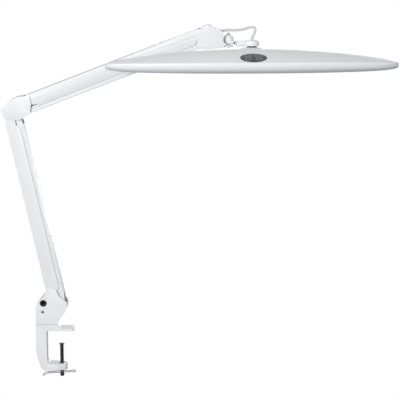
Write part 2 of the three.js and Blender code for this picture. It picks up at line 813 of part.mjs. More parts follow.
piece("elbow_lower_arm_pin", pivotPin(elbow1, ARM_PIN_R, COVER_IN - FIT), steel);
piece("elbow_lower_link_pin", pivotPin(elbow2, LINK_PIN_R, LINK_OUT + 0.1), steel);
piece("elbow_upper_arm_pin", pivotPin(upper1, ARM_PIN_R, COVER_IN - FIT), steel);
piece("elbow_upper_link_pin", pivotPin(upper2, LINK_PIN_R, LINK_OUT + 0.1), steel);

// ---- wrist -----------------------------------------------------------------------------------------

function wristFrame() {
  const cheek = outline(
    [310, 646],
    [326, 645],
    [344, 638],
    [344, 612],
    [330, 612],
    [317, 616],
    [309, 628],
  );
  const spine = outline(
    [303.5, 649],
    [314.7, 652.6],
    [325.2, 648.4],
    [339.4, 642.7],
    [WRIST_FRONT, 638.2],
    [WRIST_FRONT, 608],
    [344.4, 608],
    [344.4, 637],
    [338.4, 640.4],
    [324.4, 646],
    [314.6, 650],
    [304.3, 646.9],
  );
  const rib = outline([326, 640], [326, 646], [331, 644], [331, 640]);
  const ear = new THREE.Shape();
  ear.moveTo(343, -CHEEK_OUT);
  ear.lineTo(349, -CHEEK_OUT);
  ear.lineTo(YAW_X + 1, -9.5);
  ear.absarc(YAW_X, 0, 9.6, -PI / 2 + 0.1, PI / 2 - 0.1);
  ear.lineTo(349, CHEEK_OUT);
  ear.lineTo(343, CHEEK_OUT);
  ear.closePath();
  return cut(
    join(
      slab(cheek, CHEEK_IN, CHEEK_OUT),
      slab(cheek, -CHEEK_OUT, -CHEEK_IN),
      slab(spine, -CHEEK_OUT, CHEEK_OUT),
      slab(rib, -CHEEK_OUT, CHEEK_OUT),
      plate(ear, EAR_BOTTOM, EAR_TOP),
    ),
    pinHole(wrist1, ARM_PIN_R),
    pinHole(wrist2, LINK_PIN_R),
    post(YAW_X, 0, 2.5 + FIT, EAR_BOTTOM - 1, EAR_TOP + 1, 20),
    post(YAW_X, 0, BALL_R + 2 * FIT, EAR_TOP, 640, 36),
    cord(LEAD_ROUTE.slice(0, 3), LEAD_R + 2 * FIT, 6, 12),
  );
}
piece("wrist_frame", wristFrame(), whitePaint);

const wristPlate = new THREE.Shape();
wristPlate.moveTo(294.2, 604.6);
wristPlate.lineTo(314.6, 603.7);
wristPlate.lineTo(339.4, 606.6);
wristPlate.lineTo(WRIST_FRONT, 608);
wristPlate.lineTo(WRIST_FRONT, 638.6);
wristPlate.lineTo(339.4, 643.2);
wristPlate.lineTo(325.2, 649);
wristPlate.quadraticCurveTo(319, 653.3, 313, 653);
wristPlate.quadraticCurveTo(304, 652.5, 299, 645);
wristPlate.lineTo(293.5, 633);
wristPlate.lineTo(291.8, 612);
wristPlate.closePath();

const wristNose = outline(
  [327, 648.2],
  [339.4, 643.2],
  [WRIST_FRONT, 638.6],
  [WRIST_FRONT, 609],
  [344.5, 609],
  [344.5, 637.4],
  [338.4, 641.2],
  [327, 645.8],
);
coverPair("wrist_cover", wristPlate, [wristNose]);

piece("wrist_arm_pin", pivotPin(wrist1, ARM_PIN_R, COVER_IN - FIT), steel);
piece("wrist_link_pin", pivotPin(wrist2, LINK_PIN_R, LINK_OUT + 0.1), steel);

piece(
  "yaw_pin",
  join(
    post(YAW_X, 0, 2.5, EAR_BOTTOM - 0.6, YAW_TOP - 1.4, 20),
    post(YAW_X, 0, 3.4, YAW_TOP - 2.4, YAW_TOP, 20, 2.6),
    post(YAW_X, 0, 3.6, EAR_BOTTOM - 1.4, EAR_BOTTOM - FIT, 20),
  ),
  steel,
);

// ---- knuckle, link arm and head ----------------------------------------------------------------------

const linkFrame = new THREE.Group();
linkFrame.position.set(YAW_X, 0, 0);
linkFrame.rotation.z = LINK_AZIMUTH;
lamp.add(linkFrame);

// A round bar along the link's own x axis, at the height of the pitch pin.
function barAlongLink(r, from, to) {
  return new THREE.CylinderGeometry(r, r, to - from, 20)
    .rotateZ(PI / 2)
    .translate((from + to) / 2, 0, PITCH_Z);
}

function knuckle() {
  const low = EAR_TOP + 1;
  const high = BALL_Z + BALL_R - 0.6;
  const profile = [[2.5 + FIT, low], [2.5 + FIT, high]];
  const stations = 9;
  for (let i = 0; i <= stations; i += 1) {
    const z = high + ((low - high) * i) / stations;
    profile.push([Math.sqrt(BALL_R ** 2 - (z - BALL_Z) ** 2) + (i > 6 ? 0.4 : 0), z]);
  }
  profile.push(profile[0].slice());
  const ball = turned(profile.reverse(), 24);
  const neck = barAlongLink(NECK_R, BALL_R - 3, PITCH_REACH - 7);
  const tongue = new THREE.Shape();
  tongue.moveTo(PITCH_REACH - 10, PITCH_Z - 2.8);
  tongue.lineTo(PITCH_REACH - 2, PITCH_Z - 2.8);
  tongue.absarc(PITCH_REACH, PITCH_Z, 4.2, -2.4, 2.4);
  tongue.lineTo(PITCH_REACH - 10, PITCH_Z + 2.8);
  tongue.closePath();
  return cut(
    join(ball, neck, slab(tongue, -4, 4)),
    crossBar(PITCH_REACH, PITCH_Z, 1.8 + FIT, -20, 20, 16),
    post(0, 0, 2.5 + FIT, 600, 650, 24),
  );
}
piece("knuckle", knuckle(), whitePlastic, linkFrame);

piece(
  "knuckle_collar",
  cut(
    barAlongLink(3.9, COLLAR_REACH - 0.8, COLLAR_REACH + 0.8),
    barAlongLink(NECK_R + FIT, COLLAR_REACH - 2, COLLAR_REACH + 2),
  ),
  blackPlastic,
  linkFrame,
);

piece("pitch_pin", crossBar(PITCH_REACH, PITCH_Z, 1.8, -7.4, 7.4, 16), steel, linkFrame);

function linkArm() {
  const side = new THREE.Shape();
  side.moveTo(PITCH_REACH, PITCH_Z - 5.6);
  side.lineTo(HUB_REACH - 14, HUB_BOTTOM);
  side.lineTo(HUB_REACH, HUB_BOTTOM);
  side.lineTo(HUB_REACH, HUB_TOP);
  side.lineTo(HUB_REACH - 14, HUB_TOP);
  side.lineTo(PITCH_REACH, PITCH_Z + 5.6);
  side.absarc(PITCH_REACH, PITCH_Z, 5.6, PI / 2, (3 * PI) / 2);
  const plan = new THREE.Shape();
  const forkHalf = 7.6;
  plan.moveTo(0, -forkHalf);
  plan.lineTo(PITCH_REACH + 8, -forkHalf);
  plan.lineTo(HUB_REACH - 13, -7);
  plan.absarc(HUB_REACH, 0, HUB_R, -2.64, 2.64);
  plan.lineTo(PITCH_REACH + 8, forkHalf);
  plan.lineTo(0, forkHalf);
  plan.closePath();
  const bar = overlap(slab(side, -20, 20), plate(plan, 600, 640));
  const hub = turned(
    [
      [0, HUB_BOTTOM],
      [HUB_R - 0.8, HUB_BOTTOM],
      [HUB_R, HUB_BOTTOM + 0.8],
      [HUB_R, HUB_TOP - 2.4],
      [HUB_R - 2.4, HUB_TOP],
      [0, HUB_TOP],
    ],
    40,
  ).translate(HUB_REACH, 0, 0);
  return cut(
    join(bar, hub),
    block(0, PITCH_REACH + 6.4, -4 - FIT, 4 + FIT, 600, 640),
    crossBar(PITCH_REACH, PITCH_Z, 1.8 + FIT, -20, 20, 16),
    post(HUB_REACH, 0, STUD_R + FIT, HUB_BOTTOM - 1, HUB_TOP - 4.4),
    post(HUB_REACH, 0, 8.4, HUB_TOP - 7, HUB_TOP - 2.5, 24),
    post(HUB_REACH, 0, LEAD_R + 0.8, HUB_TOP - 3, HUB_TOP + 1, 16),
  );
}
piece("head_link", linkArm(), whitePlastic, linkFrame);

const headFrame = new THREE.Group();
headFrame.position.set(YAW_X + HUB_REACH * cos(LINK_AZIMUTH), HUB_REACH * sin(LINK_AZIMUTH), 0);
headFrame.rotation.z = HEAD_YAW;
lamp.add(headFrame);

piece(
  "swivel_stud",
  cut(
    join(
      post(0, 0, STUD_R, PAD_TOP - 8, HUB_TOP - 5),
      post(0, 0, 8.6, PAD_TOP - 8.4, PAD_TOP - 5.4, 28),
    ),
    post(0, 0, 2.4, PAD_TOP - 10, HUB_TOP, 16),
  ),
  steel,
  headFrame,
);
piece(
  "stud_washer",
  cut(
    post(0, 0, 9.5, PAD_TOP + FIT, HUB_BOTTOM - FIT, 28),
    post(0, 0, STUD_R + FIT, PAD_TOP - 1, HUB_BOTTOM + 1, 28),
  ),
  blackPlastic,
  headFrame,
);
piece(
  "stud_nut",
  cut(
    post(0, 0, 7.6, HUB_TOP - 6.7, HUB_TOP - 3, 24),
    post(0, 0, STUD_R + FIT, HUB_TOP - 8, HUB_TOP - 4.5, 24),
    post(0, 0, 2.4, HUB_TOP - 8, HUB_TOP, 16),
  ),
  steel,
  headFrame,
);

// The head's section at s, which runs from -1 to 1 along it: both ends are rounded in plan and in front view.
const tip = (s, power) => Math.min(1, Math.abs(s)) ** power;
const halfWidth = (s) =>
  (HEAD_END_WIDTH + (HEAD_HALF_WIDTH - HEAD_END_WIDTH) * (1 - s * s)) * Math.sqrt(1 - tip(s, 12));
const creaseAt = (s) => CREASE_Z - CREASE_FALL * s * s - 3 * tip(s, 24);
const domeAt = (s) => DOME_RISE * (1 - s * s) + 0.6;
const rimAt = (s) => RIM_Z - RIM_FALL * s * s + 1.5 * tip(s, 24);
const lipAt = (s) => rimAt(s) - FIT - 1 - (LIP_DEPTH - 1) * Math.sqrt(1 - tip(s, 4));

// Places along the head, closer together towards its ends.
function stationsTo(limit, count) {
  const reach = Math.asin(limit);
  return Array.from({ length: count + 1 }, (_, i) => sin(reach * ((2 * i) / count - 1)));
}

// One closed ring of the head's section: over the dome from back to front, then along its underside.
function headRing(s, inset, topDrop, bottom) {
  const half = halfWidth(s) - inset;
  const x = s * HEAD_HALF_LENGTH;
  const arcSteps = 10;
  const ring = [];
  for (let i = 0; i <= arcSteps; i += 1) {
    const v = 1 - (2 * i) / arcSteps;
    const z = creaseAt(s) + domeAt(s) * (1 - Math.abs(v) ** 1.5) - topDrop;
    ring.push(new THREE.Vector3(x, HEAD_BACK + v * half, z));
  }
  ring.push(new THREE.Vector3(x, HEAD_BACK - half, bottom(s)));
  ring.push(new THREE.Vector3(x, HEAD_BACK + half, bottom(s)));
  return ring;
}

const headLoft = (limit, inset, topDrop, bottom, count = 22) =>
  loft(stationsTo(limit, count).map((s) => headRing(s, inset, topDrop, bottom)));

// A flat plate that follows the head's plan, inset from its edge.
function planPlate(limit, inset, from, to, count = 16) {
  const stations = stationsTo(limit, count);
  const back = stations.map(
    (s) => new THREE.Vector2(s * HEAD_HALF_LENGTH, HEAD_BACK + halfWidth(s) - inset),
  );
  const front = stations.map(
    (s) => new THREE.Vector2(s * HEAD_HALF_LENGTH, HEAD_BACK - halfWidth(s) + inset),
  );
  return plate(new THREE.Shape([...front, ...back.reverse()]), from, to);
}

// A plate that follows the head's plan and bends with the lip, from one height over the lip to another.
function lipPlate(limit, inset, topInset, from, to, count = 22) {
  const rings = stationsTo(limit, count).map((s) => {
    const x = s * HEAD_HALF_LENGTH;
    const low = halfWidth(s) - inset(s);
    const high = halfWidth(s) - topInset;
    return [
      new THREE.Vector3(x, HEAD_BACK + low, from(s)),
      new THREE.Vector3(x, HEAD_BACK + high, to(s)),
      new THREE.Vector3(x, HEAD_BACK - high, to(s)),
      new THREE.Vector3(x, HEAD_BACK - low, from(s)),
    ];
  });
  return loft(rings);
}

const INNER_LIMIT = 0.985; // where the shell's hollow ends, as a share of its half length
const PANEL_TILT = Math.atan(domeSlope(PANEL_Y));

// The dome's slope in Y near the front of the head's middle section.
function domeSlope(y) {
  const v = Math.abs(y - HEAD_BACK) / HEAD_HALF_WIDTH;
  return (1.5 * DOME_RISE * v ** 0.5) / HEAD_HALF_WIDTH;
}
const domeZ = (y) =>
  CREASE_Z + DOME_RISE * (1 - (Math.abs(y - HEAD_BACK) / HEAD_HALF_WIDTH) ** 1.5) + 0.6;

// An oval slab lying on the panel's slope, from one height to another above the dome's surface.
const panelSlab = (rx, ry, from, to, sides = 28) =>
  new THREE.CylinderGeometry(1, 1, to - from, sides)
    .rotateX(PI / 2)
    .scale(rx, ry, 1)
    .translate(0, 0, (from + to) / 2)
    .rotateX(PANEL_TILT)
    .translate(PANEL_X, PANEL_Y, domeZ(PANEL_Y));

function headShell() {
  const shell = cut(
    headLoft(1, 0, 0, rimAt),
    headLoft(INNER_LIMIT, SHELL_WALL, SHELL_WALL, (s) => rimAt(s) - 5),
  );
  const pad = turned(
    [
      [STUD_R + FIT, PAD_TOP - 8],
      [30, PAD_TOP - 9],
      [24, PAD_TOP - 3.6],
      [17, PAD_TOP - 0.8],
      [13, PAD_TOP],
      [STUD_R + FIT, PAD_TOP],
      [STUD_R + FIT, PAD_TOP - 8],
    ],
    36,
  );
  const padOnDome = cut(pad, headLoft(INNER_LIMIT, SHELL_WALL, SHELL_WALL, (s) => rimAt(s) - 5));
  const studBore = post(0, 0, STUD_R + FIT, PAD_TOP - 20, PAD_TOP + 5, 28);
  const headBore = post(0, 0, 9, PAD_TOP - 20, PAD_TOP - 5, 28);
  return cut(
    join(shell, padOnDome),
    studBore,
    headBore,
    panelSlab(PANEL_RX + FIT, PANEL_RY + FIT, -6, 4),
  );
}
piece("head_shell", headShell(), whitePlastic, headFrame);

// The lip that holds the diffuser: it leans in below the rim, and an upstand on it stands inside the shell.
function headBezel() {
  const reach = 1 - 1 / HEAD_HALF_LENGTH;
  const inset = (s) => 0.8 + LIP_SLOPE * (rimAt(s) - FIT - lipAt(s));
  const top = (s) => rimAt(s) - FIT;
  const body = lipPlate(reach, inset, 0.8, lipAt, top);
  const upstand = planPlate(0.975, SHELL_WALL + 2 * FIT, RIM_Z - 2, RIM_Z + 3);
  const bore = planPlate(0.95, DIFFUSER_INSET, RIM_Z - 10, RIM_Z + 1, 22);
  const upperBore = planPlate(0.968, SHELL_WALL + 2 * FIT + 1.6, RIM_Z + 1, RIM_Z + 4);
  return cut(join(body, upstand), bore, upperBore);
}
piece("head_bezel", headBezel(), greyPlastic, headFrame);

piece(
  "diffuser",
  lipPlate(
    0.948,
    () => DIFFUSER_INSET + 2 * FIT,
    DIFFUSER_INSET + 2 * FIT,
    (s) => lipAt(s) + 0.6,
    (s) => lipAt(s) + 2.4,
  ),
  opal,
  headFrame,
);
const SINK_Z = RIM_Z + 1;
piece("heat_sink", planPlate(0.93, 14, SINK_Z, SINK_Z + 1.6), aluminium, headFrame);

function ledBoard() {
  const board = block(-240, 240, -52, 8, SINK_Z - 1.7, SINK_Z - FIT);
  const chips = [];
  for (let row = 0; row < 2; row += 1) {
    for (let k = 0; k < 12; k += 1) {
      const x = -220 + k * 40;
      const y = -37 + row * 30;
      chips.push(block(x - 2.5, x + 2.5, y - 2, y + 2, SINK_Z - 2.7, SINK_Z - 1.5));
    }
  }
  return join(board, ...chips);
}
piece("led_board", ledBoard(), phosphor, headFrame);
piece("driver_board", block(30, 110, -50, -14, SINK_Z + 2.4, SINK_Z + 4), circuit, headFrame);

// A round bar square to the panel, at a spot on it.
const keyBar = ([x, y], r, from, to) =>
  new THREE.CylinderGeometry(r, r, to - from, 20)
    .rotateX(PI / 2)
    .translate(x, y, (from + to) / 2)
    .rotateX(PANEL_TILT)
    .translate(PANEL_X, PANEL_Y, domeZ(PANEL_Y));

const keyHoles = Object.values(KEY_SPOTS).map((spot) => keyBar(spot, KEY_R + FIT, -5, 3));
piece(
  "key_panel",
  cut(panelSlab(PANEL_RX, PANEL_RY, -2.6, 0.6), ...keyHoles),
  slate,
  headFrame,
);
for (const [name, spot] of Object.entries(KEY_SPOTS)) {
  piece(name, keyBar(spot, KEY_R, -2.2, 1), keyGrey, headFrame);
}

piece("head_lead", cord(LEAD_ROUTE, LEAD_R, 32, 8), greyCable);

export default lamp;
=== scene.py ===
"""Looks of a white swing arm desk lamp with a table clamp and a long LED head.

Everything is in metres in the CAD model's frame: +X along the arms' reach, +Z up, and the keys face -Y.
"""
import json
import math

import bmesh
import bpy
from mathutils import Matrix, Vector


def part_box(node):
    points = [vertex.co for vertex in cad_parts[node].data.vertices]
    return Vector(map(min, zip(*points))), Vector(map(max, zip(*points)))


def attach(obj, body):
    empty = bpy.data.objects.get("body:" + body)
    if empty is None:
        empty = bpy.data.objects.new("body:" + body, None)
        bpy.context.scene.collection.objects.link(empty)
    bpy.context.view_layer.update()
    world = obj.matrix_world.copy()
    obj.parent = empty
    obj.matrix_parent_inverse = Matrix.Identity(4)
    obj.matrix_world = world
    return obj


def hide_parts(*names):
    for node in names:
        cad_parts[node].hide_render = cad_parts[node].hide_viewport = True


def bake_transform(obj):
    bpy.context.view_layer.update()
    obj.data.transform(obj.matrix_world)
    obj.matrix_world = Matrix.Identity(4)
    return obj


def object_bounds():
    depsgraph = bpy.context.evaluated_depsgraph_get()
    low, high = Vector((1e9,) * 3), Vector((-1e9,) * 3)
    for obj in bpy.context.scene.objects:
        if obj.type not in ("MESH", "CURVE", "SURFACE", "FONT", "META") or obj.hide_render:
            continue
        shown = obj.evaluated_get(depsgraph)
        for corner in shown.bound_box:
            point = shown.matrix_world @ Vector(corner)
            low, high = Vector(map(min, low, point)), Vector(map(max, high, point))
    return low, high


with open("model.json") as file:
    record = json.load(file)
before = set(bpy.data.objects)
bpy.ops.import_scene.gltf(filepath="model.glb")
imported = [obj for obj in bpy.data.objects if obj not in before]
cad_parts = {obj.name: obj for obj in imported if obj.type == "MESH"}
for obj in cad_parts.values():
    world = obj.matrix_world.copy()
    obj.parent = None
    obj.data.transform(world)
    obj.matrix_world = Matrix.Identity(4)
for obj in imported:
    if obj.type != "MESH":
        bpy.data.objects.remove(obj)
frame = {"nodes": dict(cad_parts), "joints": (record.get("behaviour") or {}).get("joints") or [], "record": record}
cad_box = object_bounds()

MM = 0.001
NODES = frame["nodes"]
JOINTS = {joint["name"]: joint for joint in frame["joints"]}
SLOT_OF = {part["node"]: part["material_slot"] for part in frame["record"]["subparts"]}


def pivot(joint):
    """The point that a hinge turns about."""
    return Vector(JOINTS[joint]["pos_m"])


# ---- camera and stage ------------------------------------------------------------------------------

CAMERA_AT = Vector((0.298, -3.245, 0.884))
CAMERA_AIM = Vector((0.298, 0.0, 0.283))
CAMERA_LENS = 140.1
FLOOR_DROP = 0.35  # from the lamp's lowest point to the floor
FLOOR_SIZE = 120.0
WORLD_FILL = 0.55
FILL_COLOR = (0.96, 0.975, 1.0, 1.0)
FLOOR_BOUNCE = (0.42, 0.43, 0.45, 1.0)
WHITE = (1.0, 1.0, 1.0, 1.0)
SENSOR_WIDTH = 36.0
CAMERA_RANGE = 200.0
# Each softbox: where it is, what it points at, its width and height, and its watts.
SOFTBOXES = {
    "key_softbox": ((-1.2, -3.1, 1.15), (0.25, 0.0, 0.4), (1.3, 1.3), 76.0),
    "right_softbox": ((3.0, -0.5, 0.25), (0.0, 0.0, 0.25), (1.6, 1.6), 8.0),
    "back_softbox": ((0.8, 3.4, 0.5), (0.3, 0.0, 0.3), (1.8, 1.8), 36.0),
}


def aim(obj, target):
    direction = target - obj.location
    obj.rotation_mode = "QUATERNION"
    obj.rotation_quaternion = direction.to_track_quat("-Z", "Y")


def add_camera():
    data = bpy.data.cameras.new("camera")
    data.lens = CAMERA_LENS
    data.sensor_width = SENSOR_WIDTH
    data.clip_end = CAMERA_RANGE
    camera = bpy.data.objects.new("camera", data)
    camera.location = CAMERA_AT
    aim(camera, CAMERA_AIM)
    bpy.context.scene.collection.objects.link(camera)
    bpy.context.scene.camera = camera


def add_softbox(name, at, target, size, watts):
    data = bpy.data.lights.new(name, "AREA")
    data.shape = "RECTANGLE"
    data.size, data.size_y = size
    data.energy = watts
    light = bpy.data.objects.new(name, data)
    light.location = Vector(at)
    aim(light, Vector(target))
    bpy.context.scene.collection.objects.link(light)


def nodes_of(tree):
    tree.nodes.clear()
    return tree.nodes, tree.links


def add_world():
    """White to the camera and an even soft grey to everything else."""
    world = bpy.data.worlds.new("studio")
    bpy.context.scene.world = world
    world.use_nodes = True
    nodes, links = nodes_of(world.node_tree)
    path = nodes.new("ShaderNodeLightPath")
    seen = nodes.new("ShaderNodeBackground")
    seen.inputs["Color"].default_value = WHITE
    fill = nodes.new("ShaderNodeBackground")
    fill.inputs["Color"].default_value = FILL_COLOR
    fill.inputs["Strength"].default_value = WORLD_FILL
    mix = nodes.new("ShaderNodeMixShader")
    out = nodes.new("ShaderNodeOutputWorld")
    links.new(path.outputs["Is Camera Ray"], mix.inputs["Fac"])
    links.new(fill.outputs["Background"], mix.inputs[1])
    links.new(seen.outputs["Background"], mix.inputs[2])
    links.new(mix.outputs["Shader"], out.inputs["Surface"])


def add_floor():
    """A plain white floor well below the clamp, as the table that holds the lamp isn't part of it."""
    half = FLOOR_SIZE / 2
    z = cad_box[0].z - FLOOR_DROP
    corners = [(-half, -half, z), (half, -half, z), (half, half, z), (-half, half, z)]
    mesh = bpy.data.meshes.new("floor")
    mesh.from_pydata(corners, [], [(0, 1, 2, 3)])
    floor = bpy.data.objects.new("floor", mesh)
    bpy.context.scene.collection.objects.link(floor)
    material = bpy.data.materials.new("floor_white")
    material.use_nodes = True
    nodes, links = nodes_of(material.node_tree)
    path = nodes.new("ShaderNodeLightPath")
    seen = nodes.new("ShaderNodeEmission")
    seen.inputs["Color"].default_value = WHITE
    bounce = nodes.new("ShaderNodeBsdfDiffuse")
    bounce.inputs["Color"].default_value = FLOOR_BOUNCE
    mix = nodes.new("ShaderNodeMixShader")
    out = nodes.new("ShaderNodeOutputMaterial")
    links.new(path.outputs["Is Camera Ray"], mix.inputs["Fac"])
    links.new(bounce.outputs["BSDF"], mix.inputs[1])
    links.new(seen.outputs["Emission"], mix.inputs[2])
    links.new(mix.outputs["Shader"], out.inputs["Surface"])
    mesh.materials.append(material)


add_camera()
add_world()
add_floor()
for softbox, settings in SOFTBOXES.items():
    add_softbox(softbox, *settings)
bpy.context.scene.view_settings.view_transform = "Standard"

# ---- materials -------------------------------------------------------------------------------------

RAMP_ENDS = (0.3, 0.7)  # the noise values at which a ramp's two ends are reached


class Look:
    """A Principled material whose roughness, bump and tint come from noise in the object's own space."""

    def __init__(self, name, color, roughness, metallic=0.0):
        self.material = bpy.data.materials.new(name)
        self.material.use_nodes = True
        self.nodes, self.links = nodes_of(self.material.node_tree)
        self.shader = self.nodes.new("ShaderNodeBsdfPrincipled")
        out = self.nodes.new("ShaderNodeOutputMaterial")
        self.links.new(self.shader.outputs["BSDF"], out.inputs["Surface"])
        self.place = self.nodes.new("ShaderNodeTexCoord").outputs["Object"]
        self.color = color
        self.shader.inputs["Base Color"].default_value = (*color, 1.0)
        self.shader.inputs["Roughness"].default_value = roughness
        self.shader.inputs["Metallic"].default_value = metallic
        self.normal = None

    def set(self, **values):
        for key, value in values.items():
            self.shader.inputs[key.replace("_", " ")].default_value = value
        return self

    def stretched(self, scale):
        mapping = self.nodes.new("ShaderNodeMapping")
        mapping.inputs["Scale"].default_value = scale
        self.links.new(self.place, mapping.inputs["Vector"])
        return mapping.outputs["Vector"]

    def noise(self, per_metre, detail, stretch=None):
        texture = self.nodes.new("ShaderNodeTexNoise")
        texture.inputs["Scale"].default_value = per_metre
        texture.inputs["Detail"].default_value = detail
        self.links.new(self.stretched(stretch) if stretch else self.place, texture.inputs["Vector"])
        return texture.outputs["Fac"]

    def cells(self, per_metre):
        texture = self.nodes.new("ShaderNodeTexVoronoi")
        texture.inputs["Scale"].default_value = per_metre
        self.links.new(self.place, texture.inputs["Vector"])
        return texture.outputs["Distance"]

    def ramp(self, value, low, high):
        ramp = self.nodes.new("ShaderNodeValToRGB")
        for end, place, color in zip(ramp.color_ramp.elements, RAMP_ENDS, (low, high)):
            end.position = place
            end.color = (*color, 1.0)
        self.links.new(value, ramp.inputs["Fac"])
        return ramp.outputs["Color"]

    def tint(self, value, low, high):
        """Varies the base colour between two shares of itself."""
        shades = [tuple(min(1.0, c * share) for c in self.color) for share in (low, high)]
        self.links.new(self.ramp(value, *shades), self.shader.inputs["Base Color"])
        return self

    def rough(self, value, low, high):
        grey = self.ramp(value, (low,) * 3, (high,) * 3)
        self.links.new(grey, self.shader.inputs["Roughness"])
        return self

    def bump(self, height, depth, strength=1.0):
        """Adds relief of the given depth in metres on top of what is there."""
        bump = self.nodes.new("ShaderNodeBump")
        bump.inputs["Strength"].default_value = strength
        bump.inputs["Distance"].default_value = depth
        self.links.new(height, bump.inputs["Height"])
        if self.normal:
            self.links.new(self.normal, bump.inputs["Normal"])
        self.normal = bump.outputs["Normal"]
        self.links.new(self.normal, self.shader.inputs["Normal"])
        return self


def powder_coat():
    look = Look("white_powder_coat", (0.79, 0.79, 0.802), 0.42)
    look.set(Coat_Weight=0.12, Coat_Roughness=0.3)
    look.tint(look.noise(9.0, 4.0), 0.975, 1.0)
    look.rough(look.noise(160.0, 3.0), 0.38, 0.5)
    look.bump(look.noise(900.0, 2.0), 0.00006)
    return look.bump(look.noise(70.0, 1.0), 0.00012)


def moulded_white(name, shade):
    look = Look(name, (shade, shade, shade * 1.012), 0.4)
    look.tint(look.noise(6.0, 3.0), 0.98, 1.0)
    look.rough(look.noise(220.0, 2.0), 0.36, 0.46)
    look.bump(look.cells(1500.0), 0.00003)
    return look.bump(look.noise(18.0, 1.0), 0.00025, 0.6)


def moulded_grey():
    look = Look("moulded_grey", (0.5, 0.5, 0.51), 0.45)
    look.tint(look.noise(6.0, 3.0), 0.97, 1.0)
    look.rough(look.noise(220.0, 2.0), 0.4, 0.5)
    return look.bump(look.cells(1500.0), 0.00003)


def zinc_plate(name, shade):
    look = Look(name, (shade, shade * 1.008, shade * 1.016), 0.45, 1.0)
    look.tint(look.noise(420.0, 5.0), 0.82, 1.0)
    look.rough(look.noise(300.0, 4.0, (0.15, 1.0, 1.0)), 0.42, 0.6)
    return look.bump(look.noise(1400.0, 3.0, (0.2, 1.0, 1.0)), 0.00003)


def bright_steel():
    look = Look("bright_steel", (0.56, 0.565, 0.575), 0.3, 1.0)
    look.tint(look.noise(150.0, 4.0), 0.85, 1.0)
    look.rough(look.noise(800.0, 3.0), 0.24, 0.4)
    return look.bump(look.noise(2200.0, 2.0), 0.00002)


def black_oxide():
    look = Look("black_oxide", (0.052, 0.048, 0.038), 0.34, 0.75)
    look.tint(look.noise(330.0, 5.0), 0.5, 1.9)
    look.rough(look.noise(500.0, 3.0), 0.26, 0.5)
    return look.bump(look.noise(1800.0, 2.0), 0.00003)


def black_nylon():
    look = Look("black_nylon", (0.012, 0.012, 0.013), 0.5)
    look.set(Specular_IOR_Level=0.3)
    look.rough(look.noise(400.0, 3.0), 0.34, 0.55)
    return look.bump(look.cells(1400.0), 0.00004)


def grey_jacket():
    look = Look("grey_cable_jacket", (0.66, 0.66, 0.665), 0.5)
    look.set(Sheen_Weight=0.1)
    look.tint(look.noise(60.0, 3.0), 0.95, 1.0)
    return look.bump(look.noise(1200.0, 2.0), 0.00004)


def acetal():
    look = Look("acetal", (0.75, 0.74, 0.71), 0.42)
    look.rough(look.noise(300.0, 2.0), 0.36, 0.5)
    return look.bump(look.noise(900.0, 1.0), 0.00003)


def grey_rubber():
    look = Look("grey_rubber", (0.2, 0.2, 0.21), 0.8)
    look.tint(look.noise(200.0, 3.0), 0.85, 1.0)
    return look.bump(look.cells(900.0), 0.0001)


def slate_film():
    look = Look("slate_film", (0.036, 0.046, 0.056), 0.3)
    look.set(Coat_Weight=0.3, Coat_Roughness=0.15)
    look.tint(look.noise(120.0, 3.0), 0.94, 1.06)
    return look.bump(look.noise(1500.0, 2.0), 0.00002)


def slate_key():
    look = Look("slate_key", (0.066, 0.079, 0.094), 0.34)
    look.rough(look.noise(260.0, 2.0), 0.26, 0.38)
    return look.bump(look.noise(1500.0, 2.0), 0.00003)


def opal_sheet():
    look = Look("opal_sheet", (0.92, 0.92, 0.905), 0.35)
    look.set(Transmission_Weight=0.12, Subsurface_Weight=0.35, Subsurface_Scale=0.004)
    look.rough(look.noise(90.0, 2.0), 0.3, 0.42)
    return look.bump(look.cells(620.0), 0.00012)


def sheet_aluminium():
    look = Look("sheet_aluminium", (0.75, 0.76, 0.77), 0.35, 1.0)
    look.rough(look.noise(500.0, 3.0, (0.05, 1.0, 1.0)), 0.25, 0.45)
    return look.bump(look.noise(900.0, 3.0, (0.05, 1.0, 1.0)), 0.00003)


def green_laminate():
    look = Look("green_laminate", (0.05, 0.17, 0.09), 0.45)
    look.tint(look.noise(80.0, 4.0), 0.8, 1.15)
    return look.bump(look.cells(500.0), 0.00003)


def led_board_white():
    look = Look("led_board", (0.85, 0.82, 0.66), 0.4)
    look.tint(look.noise(140.0, 3.0), 0.94, 1.0)
    return look.bump(look.noise(700.0, 2.0), 0.00004)


def pale_print():
    look = Look("pale_print", (0.4, 0.43, 0.46), 0.4)
    look.tint(look.noise(900.0, 2.0), 0.92, 1.0)
    return look.bump(look.noise(1500.0, 2.0), 0.00001)


LOOKS = {
    "white_paint": powder_coat(),
    "white_plastic": moulded_white("moulded_white", 0.87),
    "grey_plastic": moulded_grey(),
    "zinc": zinc_plate("zinc_plate", 0.62),
    "steel": bright_steel(),
    "black_steel": black_oxide(),
    "black_plastic": black_nylon(),
    "grey_cable": grey_jacket(),
    "acetal": acetal(),
    "rubber": grey_rubber(),
    "slate_panel": slate_film(),
    "key_grey": slate_key(),
    "opal": opal_sheet(),
    "aluminium": sheet_aluminium(),
    "circuit": green_laminate(),
    "led_phosphor": led_board_white(),
}
PALE_PRINT = pale_print()
DULL_ZINC = zinc_plate("dull_zinc", 0.26)
# a darker copy of the white plastic for the covers: painted shade, toning them down to the arms' brightness
COVER_SHADED_WHITE = moulded_white("moulded_cover_white", 0.8)

# ---- mesh helpers ----------------------------------------------------------------------------------


WELD = 1e-7  # corners closer together than this are one
CORNER_LIMIT = 0.98  # the most of a section's half size that a rounded corner takes
SECTION_STEPS = 6
TUBE_SIDES = 24
DOME_STEPS = 5


